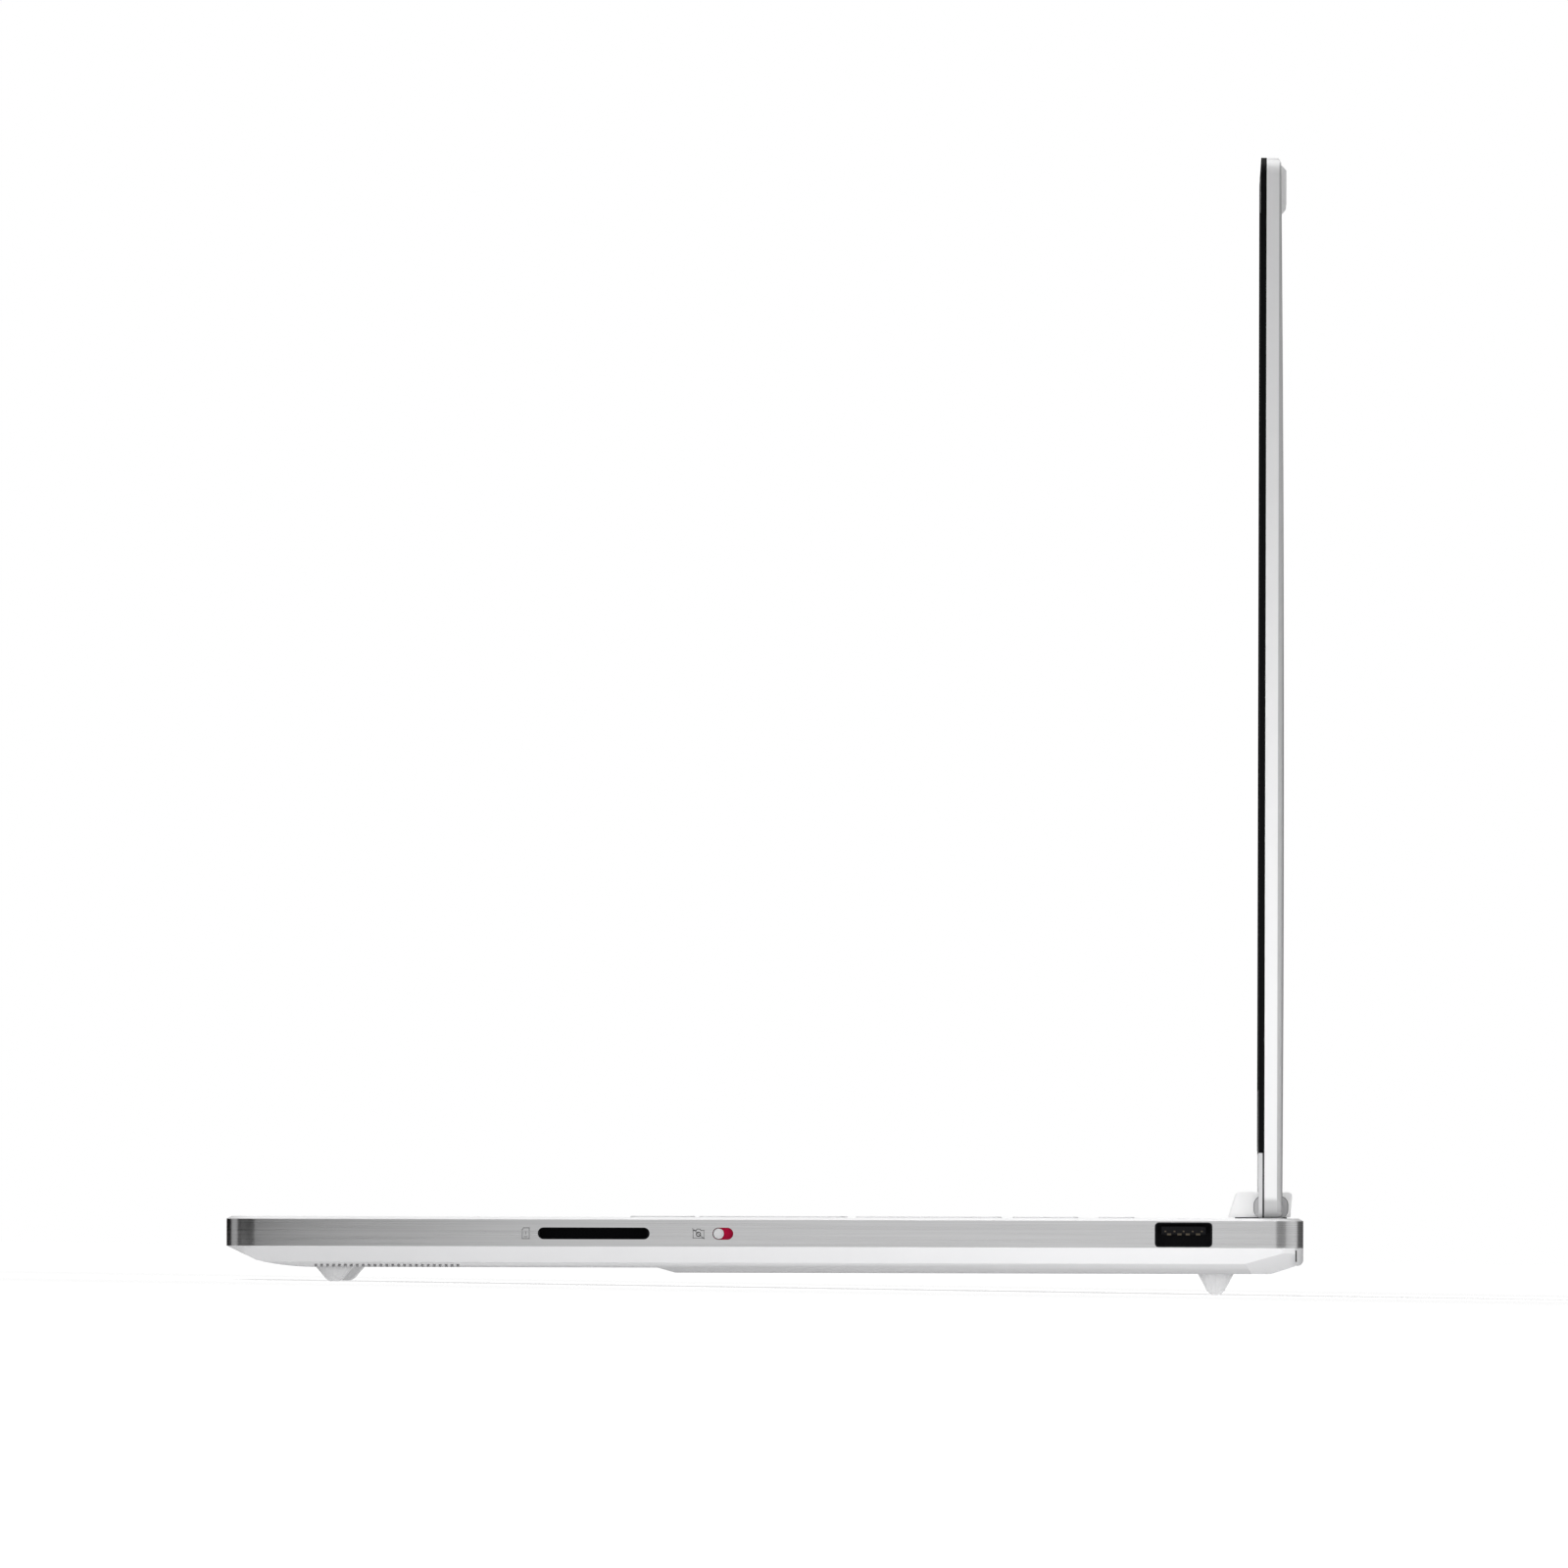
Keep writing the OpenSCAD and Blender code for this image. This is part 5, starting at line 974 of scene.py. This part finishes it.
def flat_sheet(name, points, faces, finish):
    """A sheet of the stage, no part of the object, from points in metres."""
    mesh = bpy.data.meshes.new(name)
    mesh.from_pydata(points, [], faces)
    mesh.materials.append(finish.material)
    sheet = bpy.data.objects.new(name, mesh)
    bpy.context.scene.collection.objects.link(sheet)
    return sheet


def surface(finish, shader):
    """Gives the material that shader in place of its Principled one."""
    finish.tree.links.new(shader.socket, finish.tree.nodes["Material Output"].inputs["Surface"])


white_floor = Finish("white_floor", turn=0.0)
plain = seen_rays(white_floor)
matt_shade = white_floor.mix(plain, grey(floor_matt_lit), grey(floor_matt_seen))
matt = white_floor.node("ShaderNodeBsdfDiffuse", None, {"Color": matt_shade})
from_middle = white_floor.node("ShaderNodeVectorMath", {"operation": "LENGTH"},
                               {0: white_floor.place(IN_METRES)}, out="Value")
seen_glow = white_floor.mix(from_middle.step(glow_from, glow_to), grey(glow_near), grey(glow_far))
glow = white_floor.node("ShaderNodeEmission", None,
                        {"Color": seen_glow, "Strength": plain + (1 - plain) * floor_fill})
lit = white_floor.node("ShaderNodeAddShader", None, {0: matt, 1: glow})
from_below = white_floor.node("ShaderNodeNewGeometry", out="Backfacing")
clear = white_floor.node("ShaderNodeBsdfTransparent")
surface(white_floor, white_floor.node("ShaderNodeMixShader", None, {0: from_below, 1: lit, 2: clear}))
flat_sheet("floor", [(-floor_half, -floor_half, 0), (floor_half, -floor_half, 0),
                     (floor_half, floor_half, 0), (-floor_half, floor_half, 0)], [(0, 1, 2, 3)], white_floor)

world = bpy.data.worlds.new("studio")
bpy.context.scene.world = world
sky = Finish("sky", owner=world)
plain = seen_rays(sky)
sky.put(sky.tree.nodes["Background"].inputs["Color"], grey(1))
sky.put(sky.tree.nodes["Background"].inputs["Strength"], plain + (1 - plain) * sky_fill)


def softbox(name, spot, aim, size, power, mirrored=True, spread=180):
    """A soft lamp at spot, facing aim, in metres, with its width and height and its power in watts."""
    lamp = bpy.data.lights.new(name, "AREA")
    lamp.spread = math.radians(spread)
    lamp.shape = "RECTANGLE"
    lamp.size, lamp.size_y = size
    lamp.energy = power
    box = bpy.data.objects.new(name, lamp)
    box.location = spot
    box.rotation_euler = (Vector(aim) - Vector(spot)).to_track_quat("-Z", "Y").to_euler()
    box.visible_camera = False
    box.visible_glossy = mirrored
    bpy.context.scene.collection.objects.link(box)


softbox("side_softbox", (0.46, 0.0, 0.045), (0.18, 0.0, 0.03), (0.22, 0.07), 0.014, False, 45)
softbox("lid_softbox", (0.46, 0.14, 0.08), (0.18, 0.14, 0.08), (0.12, 0.2), 0.05, False, 60)
softbox("low_softbox", (0.44, 0.05, 0.008), (0.18, 0.05, 0.02), (0.34, 0.014), 0.2, False)
softbox("far_softbox", (-0.46, 0.08, 0.055), (-0.18, 0.08, 0.03), (0.3, 0.09), 0.5, False)
softbox("back_softbox", (0.0, 1.6, 0.9), (0.0, 0.1, 0.1), (1.2, 0.8), 5.5)
softbox("top_softbox", (0.0, -0.35, 1.6), (0.0, 0.0, 0.0), (1.2, 1.2), 20.0)

# Studio cards stand round the object and lie on the floor a little way off, and only metal and
# gloss see them. Beside its left and right they are graded by metres from its middle, front to
# back, and past a corner by the angle at which they stand off it, in degrees.
FLAT_STOPS = [(-0.152, 0.0), (-0.1262, 0.0), (-0.1252, 0.44), (-0.119, 0.5), (-0.09, 0.62), (-0.062, 0.8),
              (-0.043, 0.86), (0.03, 0.97), (0.152, 1.0)]
ROUND_STOPS = [(-180, 0.0), (-116, 0.0), (-112, 0.5), (-80, 0.5), (-76, 0.02), (-8, 0.0), (-4, 0.8),
               (4, 0.8), (8, 0.34), (45, 0.38), (50, 0.82), (104, 0.8), (108, 0.14), (180, 0.1)]
bare_from, bare_to = 0.018, 0.028  # metres of bare floor round the object, and where cards start
corner_slope, corner_blur = 0.09, 0.002  # the line from each corner where the two gradings meet
card_lift, card_high, card_out = 0.0004, 0.5, 0.42
ring_out, ring_high, ring_sides = 1.5, 3.0, 64

card_shade = Finish("studio_card", turn=0.0)
spot = card_shade.place(IN_METRES)
x, y = spot.part("X"), spot.part("Y")
past_x, past_y = abs(x) - cad_box[1][0], abs(y) - cad_box[1][1]
beside = past_x.sum("MAXIMUM", past_y, past_x).step(bare_from, bare_to)
past = past_y.sum("MAXIMUM", past_y, 0.0)
turned_away = (past - past_x * corner_slope).step(-corner_blur, corner_blur)
signed = past * y.sum("SIGN", y)
around = signed.sum("ARCTAN2", signed, x - cad_box[1][0]) / math.pi
round_ramp = [((angle / 180 + 1) / 2, grey(shade)) for angle, shade in ROUND_STOPS]
ring = card_shade.node("ShaderNodeValToRGB", {"stops": round_ramp}, {"Fac": (around + 1) / 2})
low, high = FLAT_STOPS[0][0], FLAT_STOPS[-1][0]
flat_ramp = [((place - low) / (high - low), grey(shade)) for place, shade in FLAT_STOPS]
flat = card_shade.node("ShaderNodeValToRGB", {"stops": flat_ramp}, {"Fac": (y - low) / (high - low)})
card_glow = card_shade.node("ShaderNodeEmission", None, {"Color": card_shade.mix(turned_away, flat, ring)})
clear = card_shade.node("ShaderNodeBsdfTransparent")
surface(card_shade, card_shade.node("ShaderNodeMixShader", None, {0: beside, 1: clear, 2: card_glow}))
points, faces = [], []
for out in (card_out, -card_out):
    first = len(points)
    points += [(out, low, card_lift), (out, high, card_lift), (out, high, card_high), (out, low, card_high)]
    faces.append(tuple(range(first, first + 4)))
first = len(points)
for z in (card_lift, ring_high):
    points += [(a, b, z) for a, b in circle(0, 0, ring_out, ring_sides)]
faces.append(tuple(range(first, first + ring_sides)))
for i in range(ring_sides):
    j = (i + 1) % ring_sides
    faces.append((first + i, first + j, first + ring_sides + j, first + ring_sides + i))
cards = flat_sheet("studio_cards", points, faces, card_shade)
for kind in ("camera", "diffuse", "transmission", "shadow"):
    setattr(cards, "visible_" + kind, False)

focal = 1650.0
film = 36.0
near_face = cad_box[1][0]
view_width = 0.3785
middle = Vector((near_face, 0.0030, 0.12174))
eye = Vector((near_face + view_width * focal / film, 0.1015, 0.0176))
roll = math.radians(0.893)
lens_data = bpy.data.cameras.new("camera")
lens_data.lens = focal
lens_data.sensor_width = film
lens_data.clip_start = 0.5
lens_data.clip_end = 40.0
camera = bpy.data.objects.new("camera", lens_data)
bpy.context.scene.collection.objects.link(camera)
back = (eye - middle).normalized()
right = Vector((0, math.cos(roll), math.sin(roll)))
right = (right - right.dot(back) * back).normalized()
camera.matrix_world = Matrix.Translation(eye) @ Matrix((right, back.cross(right), back)).transposed().to_4x4()
bpy.context.scene.camera = camera
bpy.context.scene.view_settings.view_transform = "Standard"
